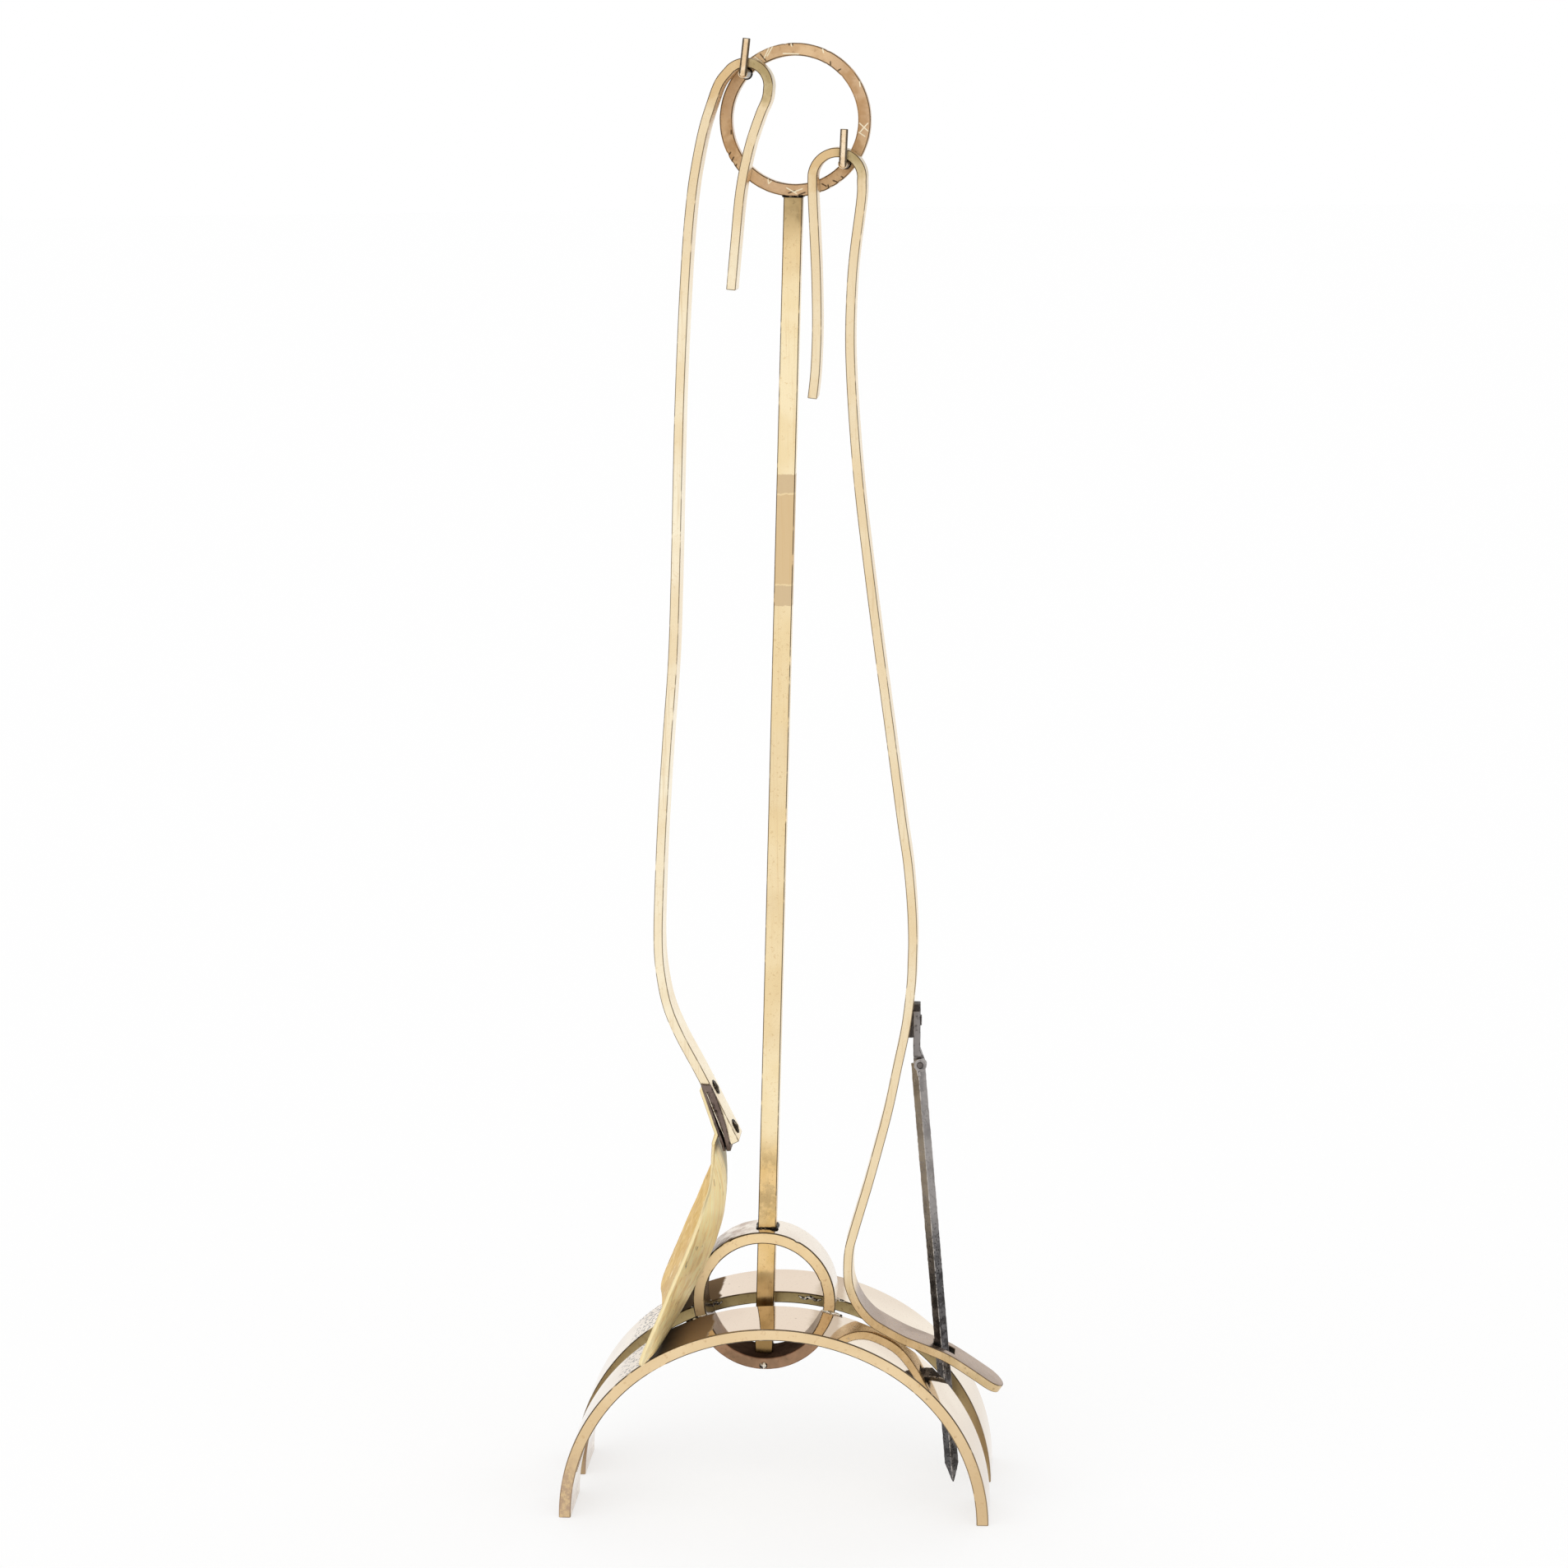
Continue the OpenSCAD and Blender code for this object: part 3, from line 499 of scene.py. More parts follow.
def bar_metal(node, foot_z=None):
    """Straw gold bar, tan and olive over the hook, and a painted reflection, taupe, on top of the poker's
    foot.
    """
    g = metal(node + "_brass")
    hook_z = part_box(node)[1].z - 0.026
    crown = [p.x for p in vertices(node) if p.z > hook_z + 0.025]
    crown_x = sum(crown) / len(crown)
    colour = mottled(g, (tone(252, 240, 212), tone(246, 229, 196), tone(228, 204, 164)), 26.0, 560.0)
    warm = g.step(g.noise(16.0, 2.0, 0.5), 0.52, 0.62)
    colour = g.mix(g.times(warm, 0.35), colour, tone(234, 206, 156))
    tanned = g.step(g.axis("Z"), 0.62, 0.7)
    if foot_z:
        tanned = g.spread(tanned, 0.7, 1.0)
    colour = g.mix(g.times(tanned, 0.5), colour, tone(222, 192, 142))
    olive = mottled(g, (tone(206, 188, 146), tone(172, 152, 108), tone(122, 104, 70)), 60.0, 620.0)
    over_hook = g.step(g.ragged(g.axis("Z"), g.noise(70.0), 0.05), hook_z, hook_z + 0.016)
    colour = g.mix(g.times(over_hook, 0.65), colour, tone(214, 176, 120))
    right_of_crown = g.step(g.axis("X"), crown_x - 0.002, crown_x + 0.004)
    colour = g.mix(g.times(over_hook, right_of_crown, 0.9), colour, olive)
    if foot_z:
        # A painted reflection: the upward faces of the foot's top are taupe.
        faces_up = g.step(g.axis("Z", g.normal), 0.25, 0.4)
        top = g.times(faces_up, g.step(g.axis("Z"), foot_z + 0.03, foot_z + 0.01))
        taupe = mottled(g, (tone(176, 156, 140), tone(158, 138, 122), tone(120, 100, 86)), 50.0, 700.0)
        low = g.step(g.axis("Z"), foot_z + 0.02, foot_z)
        gold = mottled(g, (tone(228, 202, 160), tone(208, 182, 138), tone(152, 128, 90)), 40.0, 480.0)
        colour = g.mix(top, g.mix(low, colour, gold), taupe)
        # The inside of the hole that the spike passes through is painted black, as shade.
        spike_lo, spike_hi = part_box("spike")
        hole_x = spike_lo.x + 0.7 * (spike_hi.x - spike_lo.x)
        off_middle = g.off(g.axis("Y"), (spike_lo.y + spike_hi.y) / 2)
        in_hole = g.times(g.step(g.math("ABSOLUTE", g.axis("Z", g.normal)), 0.68, 0.6),
                          g.step(off_middle, 0.006, 0.005),
                          g.band(g.axis("X"), hole_x - 0.012, hole_x + 0.014, 0.001),
                          g.step(g.axis("Z"), foot_z + 0.03, foot_z + 0.02))
        colour = g.mix(in_hole, colour, tone(26, 20, 16))
        g.put(g.shader.inputs["Metallic"], g.spread(in_hole, 1.0, 0.2))
    streaks = g.noise(1.0, 3.0, 0.6, (700.0, 700.0, 26.0))
    colour = g.mix(g.times(g.step(streaks, 0.56, 0.74), 0.35), colour, tone(210, 178, 128))
    colour = edge_lines(g, colour, tone(88, 66, 40), g.spread(over_hook, 0.75, 0.95))
    rough = g.spread(streaks, 0.16, 0.42)
    return finish_metal(g, colour, rough, streaks, FINEST_MARK)


def pin_metal():
    g = metal("pin_brass")
    colour = mottled(g, (tone(250, 228, 196), tone(234, 204, 164), tone(150, 120, 84)), 160.0, 700.0)
    # Painted shade: the sides of the pins that face left and right are darkened.
    across = g.axis("X", g.normal)
    sides = g.most(g.step(across, 0.35, 0.7), g.step(across, -0.55, -0.85))
    colour = g.mix(g.times(sides, 0.9), colour, tone(52, 40, 28))
    colour = edge_lines(g, colour, tone(70, 56, 38), 0.9)
    grain = g.noise(800.0, 3.0)
    return finish_metal(g, colour, g.spread(grain, 0.14, 0.4), grain, FINEST_MARK)


def pan_metal(into_bowl, lip_z):
    """Yellow sheet, brushed along its length, with short tool marks, and darker and matt on part of its back,
    low down.
    """
    g = metal("pan_brass")
    streaks = g.noise(1.0, 4.0, 0.6, (420.0, 420.0, 20.0))
    facing = g.vectors("DOT_PRODUCT", g.normal, into_bowl)
    outside = g.mix(g.step(streaks, 0.36, 0.62), tone(255, 246, 196), tone(255, 234, 172))
    inside = g.mix(g.step(streaks, 0.36, 0.62), tone(242, 208, 132), tone(228, 188, 106))
    colour = g.mix(g.step(facing, -0.1, 0.1), outside, inside)
    colour = g.mix(g.times(g.step(g.noise(38.0, 3.0), 0.5, 0.66), 0.5), colour, tone(246, 212, 146))
    near_lip = g.step(g.axis("Z"), lip_z + 0.05, lip_z + 0.01)
    dull = g.times(near_lip, g.step(g.noise(70.0, 4.0), 0.38, 0.6))
    colour = g.mix(g.times(dull, 0.4), colour, tone(196, 160, 110))
    short = g.noise(1.0, 1.0, 0.4, (420.0, 420.0, 110.0))
    marks = g.times(g.step(short, 0.72, 0.75), 0.7)
    colour = g.mix(marks, colour, tone(84, 62, 34))
    drawn = g.step(g.noise(1.0, 3.0, 0.55, (260.0, 260.0, 12.0)), 0.52, 0.6)
    colour = g.mix(g.times(drawn, 0.45), colour, tone(222, 180, 112))
    bright = g.step(g.noise(1.0, 2.0, 0.5, (300.0, 300.0, 9.0)), 0.6, 0.68)
    colour = g.mix(g.times(bright, 0.6), colour, tone(255, 240, 200))
    low = g.spread(g.step(g.axis("Z"), lip_z + 0.075, lip_z + 0.04), 0.7, 1.0)
    # The back is darker and matt on one side, low down near the lip.
    darkened_back_edge = g.ragged(g.axis("Y"), g.noise(90.0, 4.0), 0.014)
    darkened_back = g.times(g.step(facing, -0.4, -0.7), low, g.step(darkened_back_edge, -0.008, 0.005),
                   g.spread(g.noise(60.0, 4.0), 0.8, 1.0))
    colour = g.mix(darkened_back, colour, tone(34, 26, 20))
    make_matt(g, darkened_back, 0.75, 0.1)
    # A painted highlight: the sheet's rounded border is pale.
    colour = g.mix(g.times(g.attribute("edge"), 0.8), colour, tone(252, 236, 190))
    rough = g.spread(streaks, 0.3, 0.55)
    height = g.math("SUBTRACT", streaks, g.times(marks, 1.5))
    return finish_metal(g, colour, rough, height, 2 * FINEST_MARK)


def dark_brass_metal(name, tones, edge):
    g = metal(name)
    grain = g.noise(420.0, 5.0, 0.7)
    colour = mottled(g, tones, 90.0, 420.0)
    colour = g.mix(g.times(g.attribute("edge"), g.step(grain, 0.4, 0.6), 0.8), colour, edge)
    return finish_metal(g, colour, g.spread(grain, 0.3, 0.65), grain, 4 * FINEST_MARK)


def steel_metal(name, tones, edge, pit_share, clean_above=None):
    """Forged steel: dull grey with black pits and bright rubbed high spots.

    Where clean_above is given, it is paler above that height and scaly below it.
    """
    g = metal(name)
    grain = g.noise(330.0, 6.0, 0.72)
    colour = mottled(g, tones, 60.0, 330.0)
    pits = g.pits(620.0, 0.42, pit_share)
    colour = g.mix(g.times(pits, 0.8), colour, tone(26, 24, 24))
    rubbed = g.times(g.step(grain, 0.58, 0.7), 0.7)
    colour = g.mix(rubbed, colour, edge)
    if clean_above:
        cleaner = g.step(g.axis("Z"), clean_above - 0.025, clean_above + 0.015)
        pale = mottled(g, (tone(190, 184, 180), tone(166, 160, 157), edge), 60.0, 400.0)
        colour = g.mix(g.times(cleaner, 0.6), colour, pale)
        below = g.step(g.axis("Z"), clean_above, clean_above - 0.04)
        scaly = g.times(g.step(g.noise(170.0, 5.0, 0.7), 0.46, 0.56), below)
        colour = g.mix(g.times(scaly, 0.7), colour, tone(44, 41, 41))
    colour = g.mix(g.times(g.attribute("edge"), g.step(grain, 0.42, 0.58), 0.8), colour, edge)
    height = g.math("SUBTRACT", grain, g.times(pits, 0.6))
    return finish_metal(g, colour, g.spread(grain, 0.28, 0.62), height, 5 * FINEST_MARK)


def solder_metal(name, dark, light, dark_share):
    """Filler metal, light where it is clean and dark where heat has blackened it; also the socket fold's
    painted highlight.
    """
    g = metal(name)
    grain = g.noise(600.0, 4.0, 0.65)
    colour = g.mix(g.step(grain, dark_share - 0.06, dark_share + 0.06), dark, light)
    return finish_metal(g, colour, g.spread(grain, 0.2, 0.5), grain, 3 * FINEST_MARK)


# ---------------------------------------------------------------- mesh tools

RIGHT, BACK, UP = Vector((1, 0, 0)), Vector((0, 1, 0)), Vector((0, 0, 1))


def vertices(node):
    return [v.co.copy() for v in frame["nodes"][node].data.vertices]


def new_bmesh():
    bm = bmesh.new()
    bm.faces.layers.float.new("edge")
    return bm


def cad_copy(node):
    """The node's own solid as clean faces: joined corners, and no edges inside flat faces."""
    bm = new_bmesh()
    bm.from_mesh(frame["nodes"][node].data)
    bmesh.ops.remove_doubles(bm, verts=bm.verts[:], dist=2e-6)
    bmesh.ops.dissolve_limit(bm, angle_limit=math.radians(0.05), verts=bm.verts[:], edges=bm.edges[:])
    return bm


def is_arris(edge, angle):
    return len(edge.link_faces) == 2 and edge.calc_face_angle(0.0) > angle


def mark_edges(bm, faces):
    layer = bm.faces.layers.float["edge"]
    for face in faces:
        if face.is_valid:
            face[layer] = 1.0


def round_edges(bm, edges, size):
    made = bmesh.ops.bevel(bm, geom=edges, offset=size, segments=3, profile=0.5, affect="EDGES",
                           clamp_overlap=False)
    mark_edges(bm, made["faces"])


def round_arrises(bm, size, angle=math.radians(38)):
    round_edges(bm, [e for e in bm.edges if is_arris(e, angle)], size)


def slice_up(bm, direction, step):
    """Cuts the faces across, so that they can be bent or dented."""
    along = [v.co.dot(direction) for v in bm.verts]
    count = int((max(along) - min(along)) / step)
    for i in range(1, count + 1):
        geom = bm.verts[:] + bm.edges[:] + bm.faces[:]
        bmesh.ops.bisect_plane(bm, geom=geom, dist=1e-7, plane_co=direction * (min(along) + i * step),
                               plane_no=direction)


def dent(bm, amount, scale, seed):
    """Moves the surface in and out by up to amount, in lumps of about 1 / scale metres."""
    bm.normal_update()
    shift = Vector((seed * 7.31, seed * 3.17, seed * 5.77))
    for v in bm.verts:
        v.co += v.normal * amount * noise.fractal(v.co * scale + shift, 0.9, 2.1, 4)


def finish_mesh(name, bm, body, material, sharp=math.radians(44)):
    bm.normal_update()
    for face in bm.faces:
        face.smooth = True
    for edge in bm.edges:
        edge.smooth = not is_arris(edge, sharp)
    mesh = bpy.data.meshes.new(name)
    bm.to_mesh(mesh)
    bm.free()
    piece = bpy.data.objects.new(name, mesh)
    bpy.context.scene.collection.objects.link(piece)
    mesh.materials.append(material)
    weighted = piece.modifiers.new("flat_faces_stay_flat", "WEIGHTED_NORMAL")
    weighted.keep_sharp = True
    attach(piece, body)
    return piece


def stand_in(node, bm, material):
    """Finishes bm as the piece that is shown for a CAD node."""
    piece = finish_mesh(node + "_shown", bm, BODY[node], material)
    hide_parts(node)
    return piece


def finished_copy(node, material, round_size, slices=None, dents=None):
    bm = cad_copy(node)
    if slices:
        slice_up(bm, *slices)
    round_arrises(bm, round_size)
    if dents:
        dent(bm, *dents)
    return stand_in(node, bm, material)


def curve_through(points, steps):
    """Catmull-Rom points through the given ones."""
    found = []
    for i in range(len(points) - 1):
        a, b, c, d = (points[max(i - 1, 0)], points[i], points[i + 1], points[min(i + 2, len(points) - 1)])
        for j in range(steps):
            t = j / steps
            found.append(0.5 * (2 * b + t * (c - a) + t * t * (2 * a - 5 * b + 4 * c - d)
                                + t * t * t * (3 * b - 3 * c + d - a)))
    found.append(points[-1])
    return found


def solder_run(name, points, size, seed, material, closed=False, body="stand"):
    """A lumpy bead along points, thin at both ends unless it closes on itself: filler metal, and also the
    painted highlight on the socket's fold.
    """
    path = curve_through(points + points[:1] if closed else points, 8)
    sides = 10
    bm = new_bmesh()
    rings = []
    for i, p in enumerate(path):
        ahead = (path[min(i + 1, len(path) - 1)] - path[max(i - 1, 0)]).normalized()
        side = ahead.orthogonal().normalized()
        other = ahead.cross(side)
        share = i / (len(path) - 1)
        taper = 1.0 if closed else math.sqrt(max(4 * share * (1 - share), 0.02))
        ring = []
        for k in range(sides):
            turn = 2 * math.pi * k / sides
            out = math.cos(turn) * side + math.sin(turn) * other
            lump = 1.0 + 0.45 * noise.noise((p + out * size) * 900.0 + Vector((seed, 2 * seed, 0)))
            ring.append(bm.verts.new(p + out * size * taper * lump))
        rings.append(ring)
    for a, b in zip(rings, rings[1:]):
        for k in range(sides):
            bm.faces.new((a[k], a[(k + 1) % sides], b[(k + 1) % sides], b[k]))
    bm.faces.new(list(reversed(rings[0])))
    bm.faces.new(rings[-1])
    bmesh.ops.recalc_face_normals(bm, faces=bm.faces[:])
    return finish_mesh(name, bm, body, material)


# ---------------------------------------------------------------- rings

def rounded_section(inner, outer, depth, corner, pieces):
    """Section of a ring as (radius, y, is it a corner) round a rectangle with rounded corners."""
    half = depth / 2
    points = []
    corners = ((outer - corner, half - corner, 0), (inner + corner, half - corner, 90),
               (inner + corner, corner - half, 180), (outer - corner, corner - half, 270))
    for c, (r, y, start) in enumerate(corners):
        for k in range(4):
            turn = math.radians(start + 30 * k)
            points.append((r + corner * math.cos(turn), y + corner * math.sin(turn), k < 3))
        next_r, next_y, next_start = corners[(c + 1) % 4]
        turn = math.radians(next_start)
        end = (next_r + corner * math.cos(turn), next_y + corner * math.sin(turn))
        last = points[-1]
        count = max(2, round(math.dist(last[:2], end) / pieces))
        points += [(last[0] + (end[0] - last[0]) * j / count, last[1] + (end[1] - last[1]) * j / count, False)
                   for j in range(1, count)]
    return points


# Nicks as degrees round the ring, size, depth, and whether they are in the outer rim or the inner one.
BASE_RING_NICKS = (
    (62, 1.2 * MM, 0.5 * MM, True), (118, 0.9 * MM, 0.4 * MM, True), (20, 0.8 * MM, 0.3 * MM, False))
TOP_RING_NICKS = (
    (97, 0.6 * MM, 0.7 * MM, True), (64, 0.8 * MM, 0.35 * MM, True), (42, 0.7 * MM, 0.3 * MM, False),
    (206, 0.9 * MM, 0.45 * MM, True), (214, 0.6 * MM, 0.4 * MM, True), (-62, 0.9 * MM, 0.5 * MM, True),
    (-70, 0.6 * MM, 0.4 * MM, True), (-54, 0.7 * MM, 0.5 * MM, True), (60, 0.5 * MM, 0.3 * MM, False),
    (252, 0.5 * MM, 0.3 * MM, False))


def nicked(nicks, turn, r, behind_front, outer):
    """How far the nicks push the ring's surface outwards at one point of it."""
    push = 0.0
    for place, size, depth, on_rim in nicks:
        rim = outer if on_rim else outer - WALL
        along = math.radians((math.degrees(turn) - place + 180) % 360 - 180) * rim
        near = math.exp(-(along / size) ** 2) * math.exp(-((r - rim) / (1.2 * size)) ** 2)
        near *= math.exp(-(max(0.0, behind_front) / (2.5 * size)) ** 2)
        push += (-depth if on_rim else depth) * near
    return push


def ring(node, material, nicks, seed):
    """A turned ring, a little uneven and nicked."""
    lo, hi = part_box(node)
    centre = (lo + hi) / 2
    outer = (hi.x - lo.x) / 2
    depth = hi.y - lo.y
    section = rounded_section(outer - WALL, outer, depth, 0.65 * MM, 0.8 * MM)
    count = 420
    bm = new_bmesh()
    rows = []
    for i in range(count):
        turn = 2 * math.pi * i / count
        out = Vector((math.cos(turn), 0, math.sin(turn)))
        row = []
        for r, y, _ in section:
            p = centre + out * r + Vector((0, y, 0))
            uneven = 0.05 * MM * noise.fractal(p * 260 + Vector((seed, 0, 0)), 1.0, 2.0, 3)
            r_now = r + uneven + nicked(nicks, turn, r, y + depth / 2, outer)
            row.append(bm.verts.new(centre + out * r_now + Vector((0, y, 0))))
        rows.append(row)
    n = len(section)
    corners = []
    for i in range(count):
        a, b = rows[i], rows[(i + 1) % count]
        for k in range(n):
            face = bm.faces.new((a[k], a[(k + 1) % n], b[(k + 1) % n], b[k]))
            if section[k][2]:
                corners.append(face)
    bmesh.ops.recalc_face_normals(bm, faces=bm.faces[:])
    mark_edges(bm, corners)
    return stand_in(node, bm, material)


# ---------------------------------------------------------------- shovel pan

def creased(rows, inward, bowl_rows):
    """The sheet's back as (point, normal), with creases and dents that fade out towards the tongue."""
    last_row, last_column = len(rows) - 1, len(rows[0]) - 1
    grid = []
    for i, row in enumerate(rows):
        line = []
        for j, p in enumerate(row):
            a = rows[min(i + 1, last_row)][j] - rows[max(i - 1, 0)][j]
            b = row[min(j + 1, last_column)] - row[max(j - 1, 0)]
            normal = b.cross(a).normalized()
            if normal.dot(inward) < 0:
                normal.negate()
            fade = min(1.0, max(0.0, (bowl_rows - i) / 24.0))
            crease = 0.35 * MM * noise.noise(Vector((p.y * 70, p.z * 9, 3.7)))
            crease += 0.16 * MM * noise.fractal(p * 120, 1.0, 2.0, 3)
            line.append((p + normal * crease * fade, normal))
        grid.append(line)
    return grid


def sheet_solid(grid):
    """A sheet that is SHEET thick from its back inwards, with a rounded border."""
    bm = new_bmesh()
    back, inside = ([[bm.verts.new(p + normal * level) for p, normal in line] for line in grid]
                    for level in (0.0, SHEET))
    last_row, last_column = len(grid) - 1, len(grid[0]) - 1
    for i in range(last_row):
        for j in range(last_column):
            bm.faces.new((back[i][j], back[i][j + 1], back[i + 1][j + 1], back[i + 1][j]))
            bm.faces.new((inside[i][j], inside[i + 1][j], inside[i + 1][j + 1], inside[i][j + 1]))
    border = [(0, j) for j in range(last_column)] + [(i, last_column) for i in range(last_row)]
    border += [(last_row, j) for j in range(last_column, 0, -1)] + [(i, 0) for i in range(last_row, 0, -1)]
    rim = []
    for (i, j), (k, m) in zip(border, border[1:] + border[:1]):
        rim.append(bm.faces.new((back[i][j], inside[i][j], inside[k][m], back[k][m])))
    bmesh.ops.recalc_face_normals(bm, faces=bm.faces[:])
    mark_edges(bm, rim)
    arrises = {e for f in rim for e in f.edges if sum(g in rim for g in e.link_faces) == 1}
    round_edges(bm, list(arrises), 0.5 * MM)
    return bm


def pan():
    """The pan's sheet and its tongue up the socket.

    s runs up the pan from its lip and v across it. Rows of points crowd together towards the neck.
    """
    lo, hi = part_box("shovel_pan")
    socket = vertices("shovel_socket")
    mid_y = (lo.y + hi.y) / 2
    half_width = (hi.y - lo.y) / 2
    length, lean = 109.5 * MM, math.radians(25.4)
    lip_rise, heel_rise, heel_power, bow = 8.8 * MM, 20.5 * MM, 5.6, 11.7 * MM
    rim_slope, rim_turn, turn_power = 4.4 * MM, 7.3 * MM, 16
    keel, roll = -10.0 * MM, 0.017
    corner, power, neck_half = 10.0 * MM, 6, 9.525 * MM
    tongue_bend, tongue_tip = 8.0 * MM, 2.9 * MM
    stations, crowding, columns = 110, 1.7, 96
    up = Vector((math.sin(lean), 0, math.cos(lean)))
    inward = Vector((-math.cos(lean), 0, math.sin(lean)))
    last = length * (1 - (neck_half / half_width) ** 2) ** (1 / power)

    def half_at(s):
        whole = half_width * math.sqrt(max(1 - (s / length) ** power, 0.0))
        cut = corner - math.sqrt(corner ** 2 - (corner - s) ** 2) if s < corner else 0.0
        return whole, whole - cut

    def rise(s, v):
        t = s / length
        whole = half_at(s)[0]
        floor = heel_rise * t ** heel_power - bow * t * (1 - t)
        rim = lip_rise + rim_slope * t + rim_turn * t ** turn_power
        deepest = keel * whole / half_width
        share = abs(v - deepest) / (whole - deepest if v > deepest else whole + deepest)
        return floor + (rim - floor) * share ** (1.35 + 0.65 * t) + roll * v

    lowest = min(vertices("shovel_pan"), key=lambda p: p.z)
    lip = lowest - inward * rise(0.0, lowest.y - mid_y)

    def bowl(s, share):
        v = share * half_at(s)[1]
        return Vector((lip.x, mid_y + v, lip.z)) + up * s + inward * rise(s, v)

    top_left = Vector((min(p.x for p in socket), mid_y, max(p.z for p in socket)))
    low_left = min(socket, key=lambda p: p.z).copy()
    low_left.y = mid_y
    run = (low_left - top_left).normalized()
    neck = bowl(last, 0.0)
    bend = low_left - tongue_bend * run
    tip = top_left + tongue_tip * run

    shares = [2 * j / columns - 1 for j in range(columns + 1)]
    rows = []
    for i in range(stations + 1):
        s = last * (1 - (1 - i / stations) ** crowding)
        rows.append([bowl(s, share) for share in shares])
    tongue = [neck + (bend - neck) * k / 6 for k in range(1, 7)]
    tongue += [bend + (tip - bend) * k / 16 for k in range(1, 17)]
    for p in tongue:
        rows.append([p + Vector((0, neck_half * share, 0)) for share in shares])
    bm = sheet_solid(creased(rows, inward, stations + 1))
    return stand_in("shovel_pan", bm, pan_metal(inward, lip.z))


# ---------------------------------------------------------------- the pieces

def stand_pieces():
    for node in ("front_arch", "rear_arch"):
        finished_copy(node, arch_metal(node), 0.6 * MM)
    ring("base_ring", base_ring_metal(), BASE_RING_NICKS, 3.0)
    ring("top_ring", top_ring_metal(), TOP_RING_NICKS, 8.0)
    finished_copy("post", post_metal(), 0.5 * MM)
    pins = pin_metal()
    for node in ("upper_hanging_pin", "lower_hanging_pin", "upper_pin_upright", "lower_pin_upright"):
        finished_copy(node, pins, 0.35 * MM)


def tool_pieces():
    finished_copy("shovel_bar", bar_metal("shovel_bar"), 0.45 * MM)
    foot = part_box("poker_bar")[0].z + 0.05
    finished_copy("poker_bar", bar_metal("poker_bar", foot), 0.45 * MM)
    sheet_tones = (tone(128, 112, 104), tone(98, 83, 76), tone(50, 40, 37))
    socket(dark_brass_metal("socket_brass", sheet_tones, tone(34, 25, 20)))
    rivet_tones = (tone(92, 82, 70), tone(58, 50, 44), tone(232, 222, 204))
    rivets = dark_brass_metal("rivet_brass", rivet_tones, tone(18, 14, 12))
    finished_copy("shovel_rivets", rivets, 0.55 * MM)
    pan()


def socket(material):
    """The folded sheet that holds the pan's tongue.

    Its front cheek bulges over the bar's edge, and a pale bead along its fold is a painted highlight.
    """
    lo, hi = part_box("shovel_socket")
    bm = cad_copy("shovel_socket")
    slice_up(bm, UP, 0.9 * MM)
    round_arrises(bm, 0.4 * MM)
    cheek = 1.6 * MM
    for v in bm.verts:
        share = (hi.z - v.co.z) / (hi.z - lo.z)
        middle = lo.x + (hi.x - lo.x) * (0.15 + 0.7 * share)
        if v.co.y < lo.y + cheek and v.co.x > middle:
            v.co.x += 1.5 * MM * math.sin(math.pi * min(1.0, share + 0.08)) ** 0.7
        if share > 0.97:
            v.co.z -= 1.2 * MM * (v.co.x - lo.x) / (hi.x - lo.x)
    dent(bm, 0.14 * MM, 420.0, 2.0)
    stand_in("shovel_socket", bm, material)
    fold_highlight = solder_metal("fold_highlight_brass", tone(150, 130, 100), tone(240, 228, 206), 0.42)
    points = []
    for t in (0.0, 0.25, 0.5, 0.75, 1.0):
        x, z = lo.x + (hi.x - lo.x) * (0.16 + 0.62 * t), hi.z - (hi.z - lo.z) * (0.08 + 0.72 * t)
        points.append(Vector((x, lo.y - 0.05 * MM, z)))
    solder_run("socket_fold", points, 0.28 * MM, 21.0, fold_highlight, body="shovel")


def spike_pieces():
    tones = (tone(124, 121, 121), tone(92, 90, 91), tone(46, 44, 45))
    steel = steel_metal("spike_steel", tones, tone(206, 200, 194), 0.6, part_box("spike")[0].z + 0.15)
    finished_copy("spike", steel, 0.35 * MM, (UP, 0.7 * MM), (0.16 * MM, 420.0, 5.0))
    tones = (tone(142, 137, 135), tone(122, 117, 115), tone(80, 76, 74))
    strap = steel_metal("strap_steel", tones, tone(60, 55, 53), 0.4)
    finished_copy("spike_strap", strap, 0.4 * MM, (UP, 0.9 * MM), (0.08 * MM, 380.0, 6.0))
    tones = (tone(66, 61, 58), tone(48, 44, 43), tone(24, 22, 22))
    black = steel_metal("black_steel", tones, tone(128, 121, 116), 0.5)
    finished_copy("spike_bracket", black, 0.35 * MM, (UP, 0.9 * MM), (0.08 * MM, 420.0, 7.0))
    tones = (tone(120, 113, 109), tone(94, 88, 85), tone(54, 50, 48))
    rivet = steel_metal("rivet_steel", tones, tone(22, 20, 20), 0.3)
    for node in ("bracket_rivet", "spike_rivet"):
        finished_copy(node, rivet, 0.3 * MM)


# ---------------------------------------------------------------- filler metal

def collar(middle, half_x, half_y, side_lift):
    """Points round a square bar, where those beside it are lifted by side_lift."""
    places = ((-1, -1), (0, -1), (1, -1), (1, 0), (1, 1), (0, 1), (-1, 1), (-1, 0))
    return [middle + Vector((a * half_x, b * half_y, side_lift * abs(a))) for a, b in places]


def circle(middle, radius, one, other):
    turns = [k * math.pi / 4 for k in range(8)]
    return [middle + radius * (math.cos(turn) * one + math.sin(turn) * other) for turn in turns]


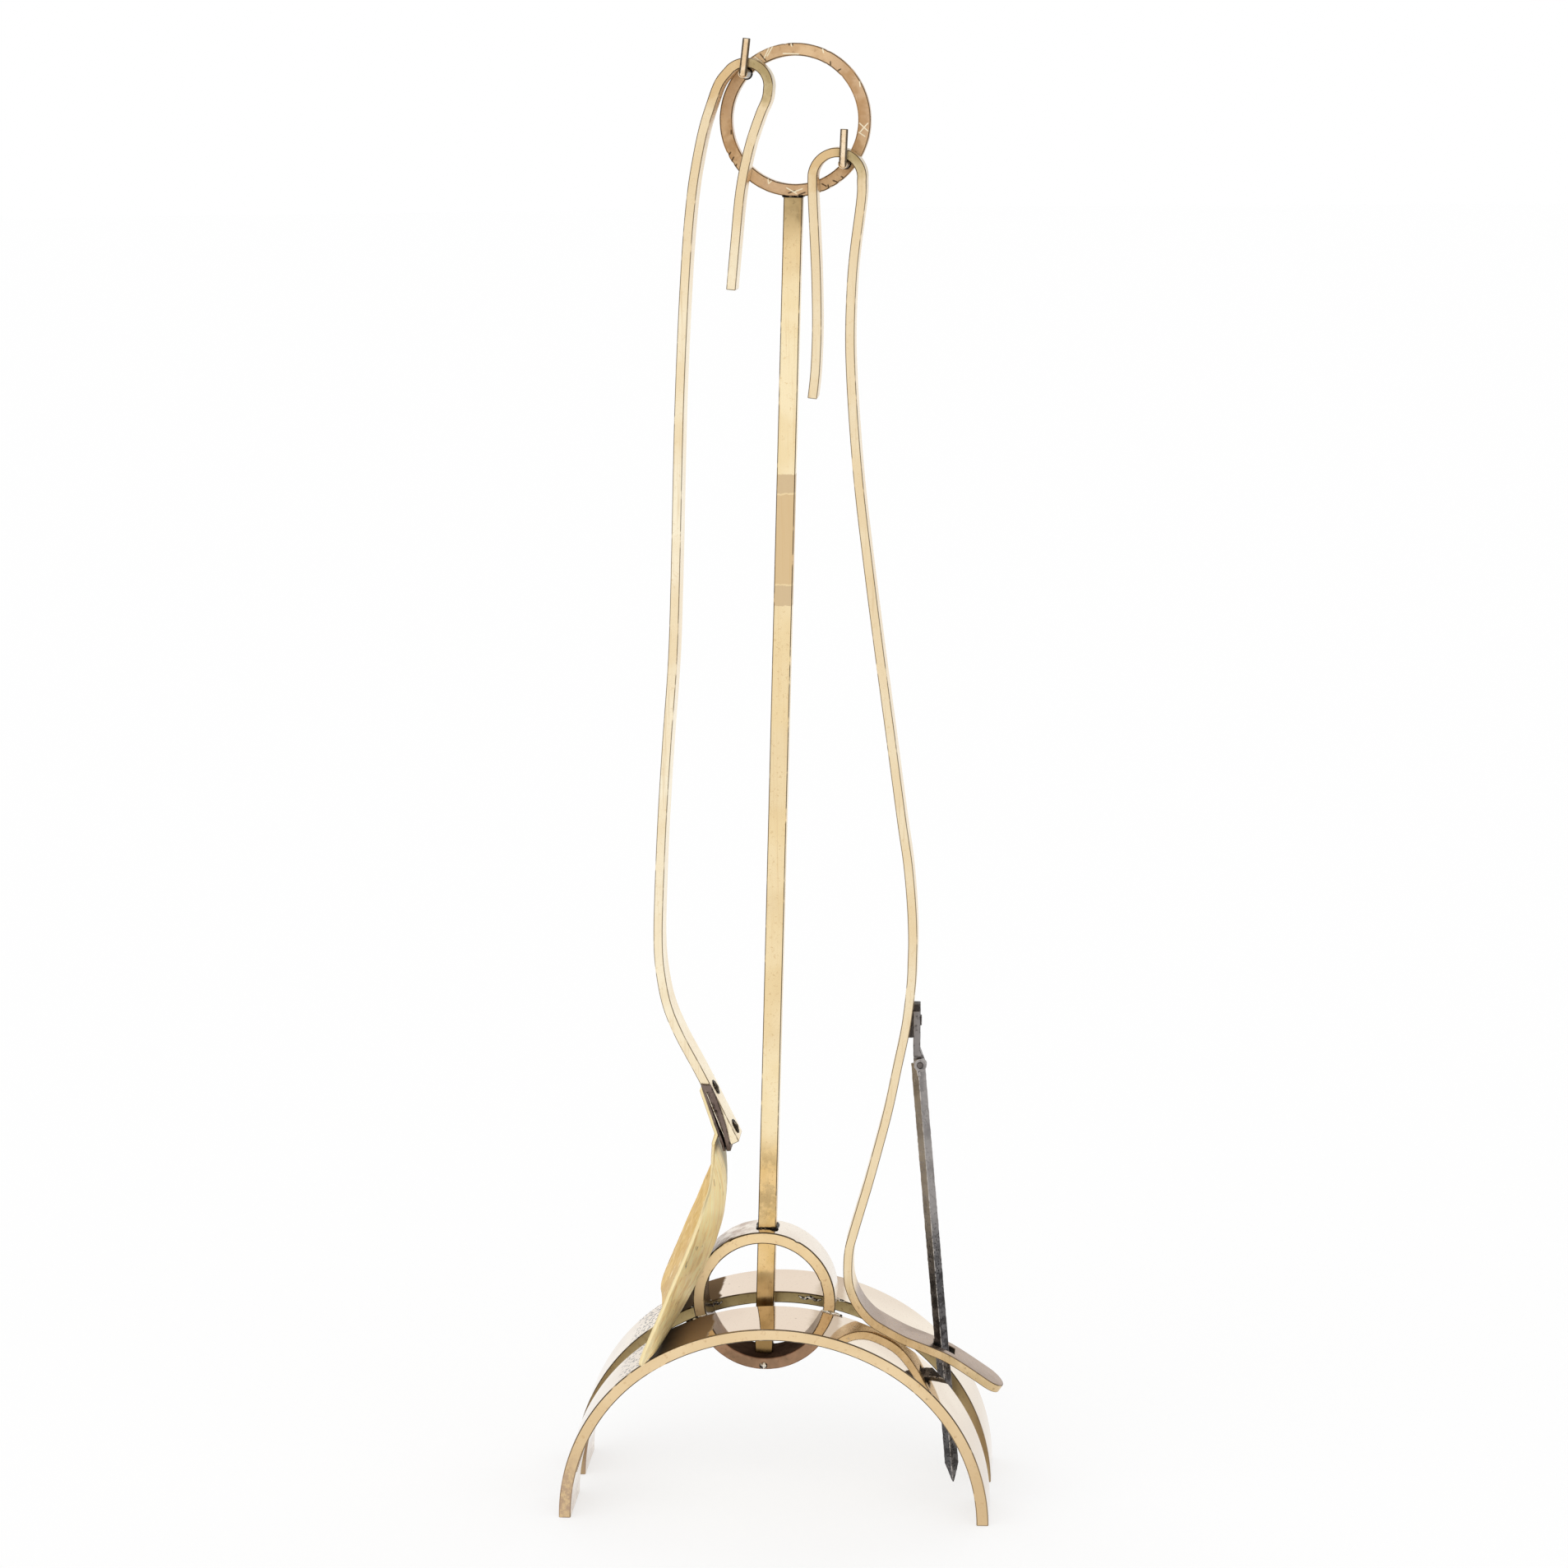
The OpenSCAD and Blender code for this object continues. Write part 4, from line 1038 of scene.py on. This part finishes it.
def rivet_rims(material):
    """Hammered rims round the two rivet heads on the shovel bar's right face."""
    cloud = vertices("shovel_rivets")
    middle_z = (min(p.z for p in cloud) + max(p.z for p in cloud)) / 2
    down_bar = Vector((14.8, 0.0, -30.9)).normalized()
    out_of_bar = Vector((30.9, 0.0, 14.8)).normalized()
    upper = [p for p in cloud if p.z > middle_z]
    lower = [p for p in cloud if p.z < middle_z]
    for label, rivet in (("upper", upper), ("lower", lower)):
        reach = max(p.dot(out_of_bar) for p in rivet)
        head = [p for p in rivet if p.dot(out_of_bar) > reach - 0.4 * MM]
        middle = sum(head, Vector()) / len(head) - 1.2 * MM * out_of_bar
        loop = circle(middle, 3.5 * MM, BACK, down_bar)
        solder_run(label + "_rivet_rim", loop, 0.5 * MM, 41.0, material, closed=True, body="shovel")


def brazing():
    """Filler metal where the pieces meet."""
    solder = solder_metal("solder", tone(40, 34, 30), tone(232, 224, 210), 0.5)
    darkest = solder_metal("burnt_solder", tone(26, 22, 20), tone(120, 108, 92), 0.6)
    front_lo, front_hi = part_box("front_arch")
    rear_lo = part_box("rear_arch")[0]
    ring_lo, ring_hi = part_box("base_ring")
    centre, radius = (ring_lo + ring_hi) / 2, (ring_hi.x - ring_lo.x) / 2
    arch_x = (front_lo.x + front_hi.x) / 2

    def arch_top(x):
        return front_hi.z - (ARCH_RADIUS - math.sqrt(ARCH_RADIUS ** 2 - (x - arch_x) ** 2))

    for side, word in ((-1, "left"), (1, "right")):
        for y, label in ((ring_lo.y, "front"), (ring_hi.y, "rear")):
            points = []
            for k in range(6):
                x = centre.x + side * (radius - WALL - 1.4 * MM + k * 2.3 * MM)
                points.append(Vector((x, y - 0.2 * MM, arch_top(x) + 0.2 * MM)))
            solder_run(f"{label}_{word}_braze", points, 0.8 * MM, 4.0 * side + y * 900, solder)
    rivet_rims(darkest)

    # A lump on the lower edge of the ring's front, and clean filler where the post enters the ring's inside.
    bottom = Vector((centre.x - 0.8 * MM, ring_lo.y + 0.5 * MM, ring_lo.z + 2.1 * MM))
    points = [bottom + Vector((k * 2.2 * MM, 0, 0.15 * MM * abs(k))) for k in (-1, 0, 1)]
    solder_run("ring_lump", points, 1.9 * MM, 27.0, solder)
    post_x = centre.x + math.tan(POST_LEAN) * (radius - WALL)
    under = Vector((post_x, centre.y, ring_hi.z - WALL - 0.4 * MM))
    points = [under + Vector((k * 2.4 * MM, -5.0 * MM, -0.5 * MM)) for k in (-2, -1, 0, 1, 2)]
    solder_run("post_inside_braze", points, 0.9 * MM, 33.0, solder)

    # Filler that has run down the rear arch's front edge: inside the ring on the right, outside on the left.
    for label, start, end in (("right", 16.5 * MM, 29.5 * MM), ("left", -32.0 * MM, -24.5 * MM)):
        points = []
        for k in range(5):
            x = centre.x + start + (end - start) * k / 4
            drop = (3.0 if k % 2 else 1.8) * MM
            points.append(Vector((x, rear_lo.y - 0.1 * MM, arch_top(x) - drop)))
        solder_run(f"rear_{label}_drips", points, 0.9 * MM, 31.0 + start, solder)

    foot = Vector((centre.x + math.tan(POST_LEAN) * radius, centre.y, ring_hi.z - 0.1 * MM))
    loop = collar(foot, 5.0 * MM, 5.0 * MM, -0.25 * MM)
    solder_run("post_foot_braze", loop, 0.9 * MM, 9.0, darkest, closed=True)
    top_ring_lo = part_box("top_ring")[0]
    head = Vector((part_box("post")[1].x - 4.9 * MM, centre.y, top_ring_lo.z + 0.1 * MM))
    loop = collar(head, 4.9 * MM, 4.4 * MM, 0.3 * MM)
    solder_run("post_head_braze", loop, 0.6 * MM, 12.0, darkest, closed=True)

    for node in ("upper_hanging_pin", "lower_hanging_pin"):
        lo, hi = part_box(node)
        middle = Vector(((lo.x + hi.x) / 2, top_ring_lo.y - 0.2 * MM, (lo.z + hi.z) / 2))
        loop = circle(middle, (hi.x - lo.x) / 2 + 0.2 * MM, RIGHT, UP)
        solder_run(node + "_braze", loop, 0.5 * MM, 15.0, darkest, closed=True)

    # The rivet under the base ring, drowned in filler.
    bm = cad_copy("post_foot_rivet")
    slice_up(bm, UP, 0.5 * MM)
    slice_up(bm, RIGHT, 0.6 * MM)
    slice_up(bm, BACK, 0.6 * MM)
    dent(bm, 0.25 * MM, 500.0, 11.0)
    stand_in("post_foot_rivet", bm, solder)


camera()
studio()
pale_floor()
pale_wall()
stand_pieces()
tool_pieces()
spike_pieces()
brazing()
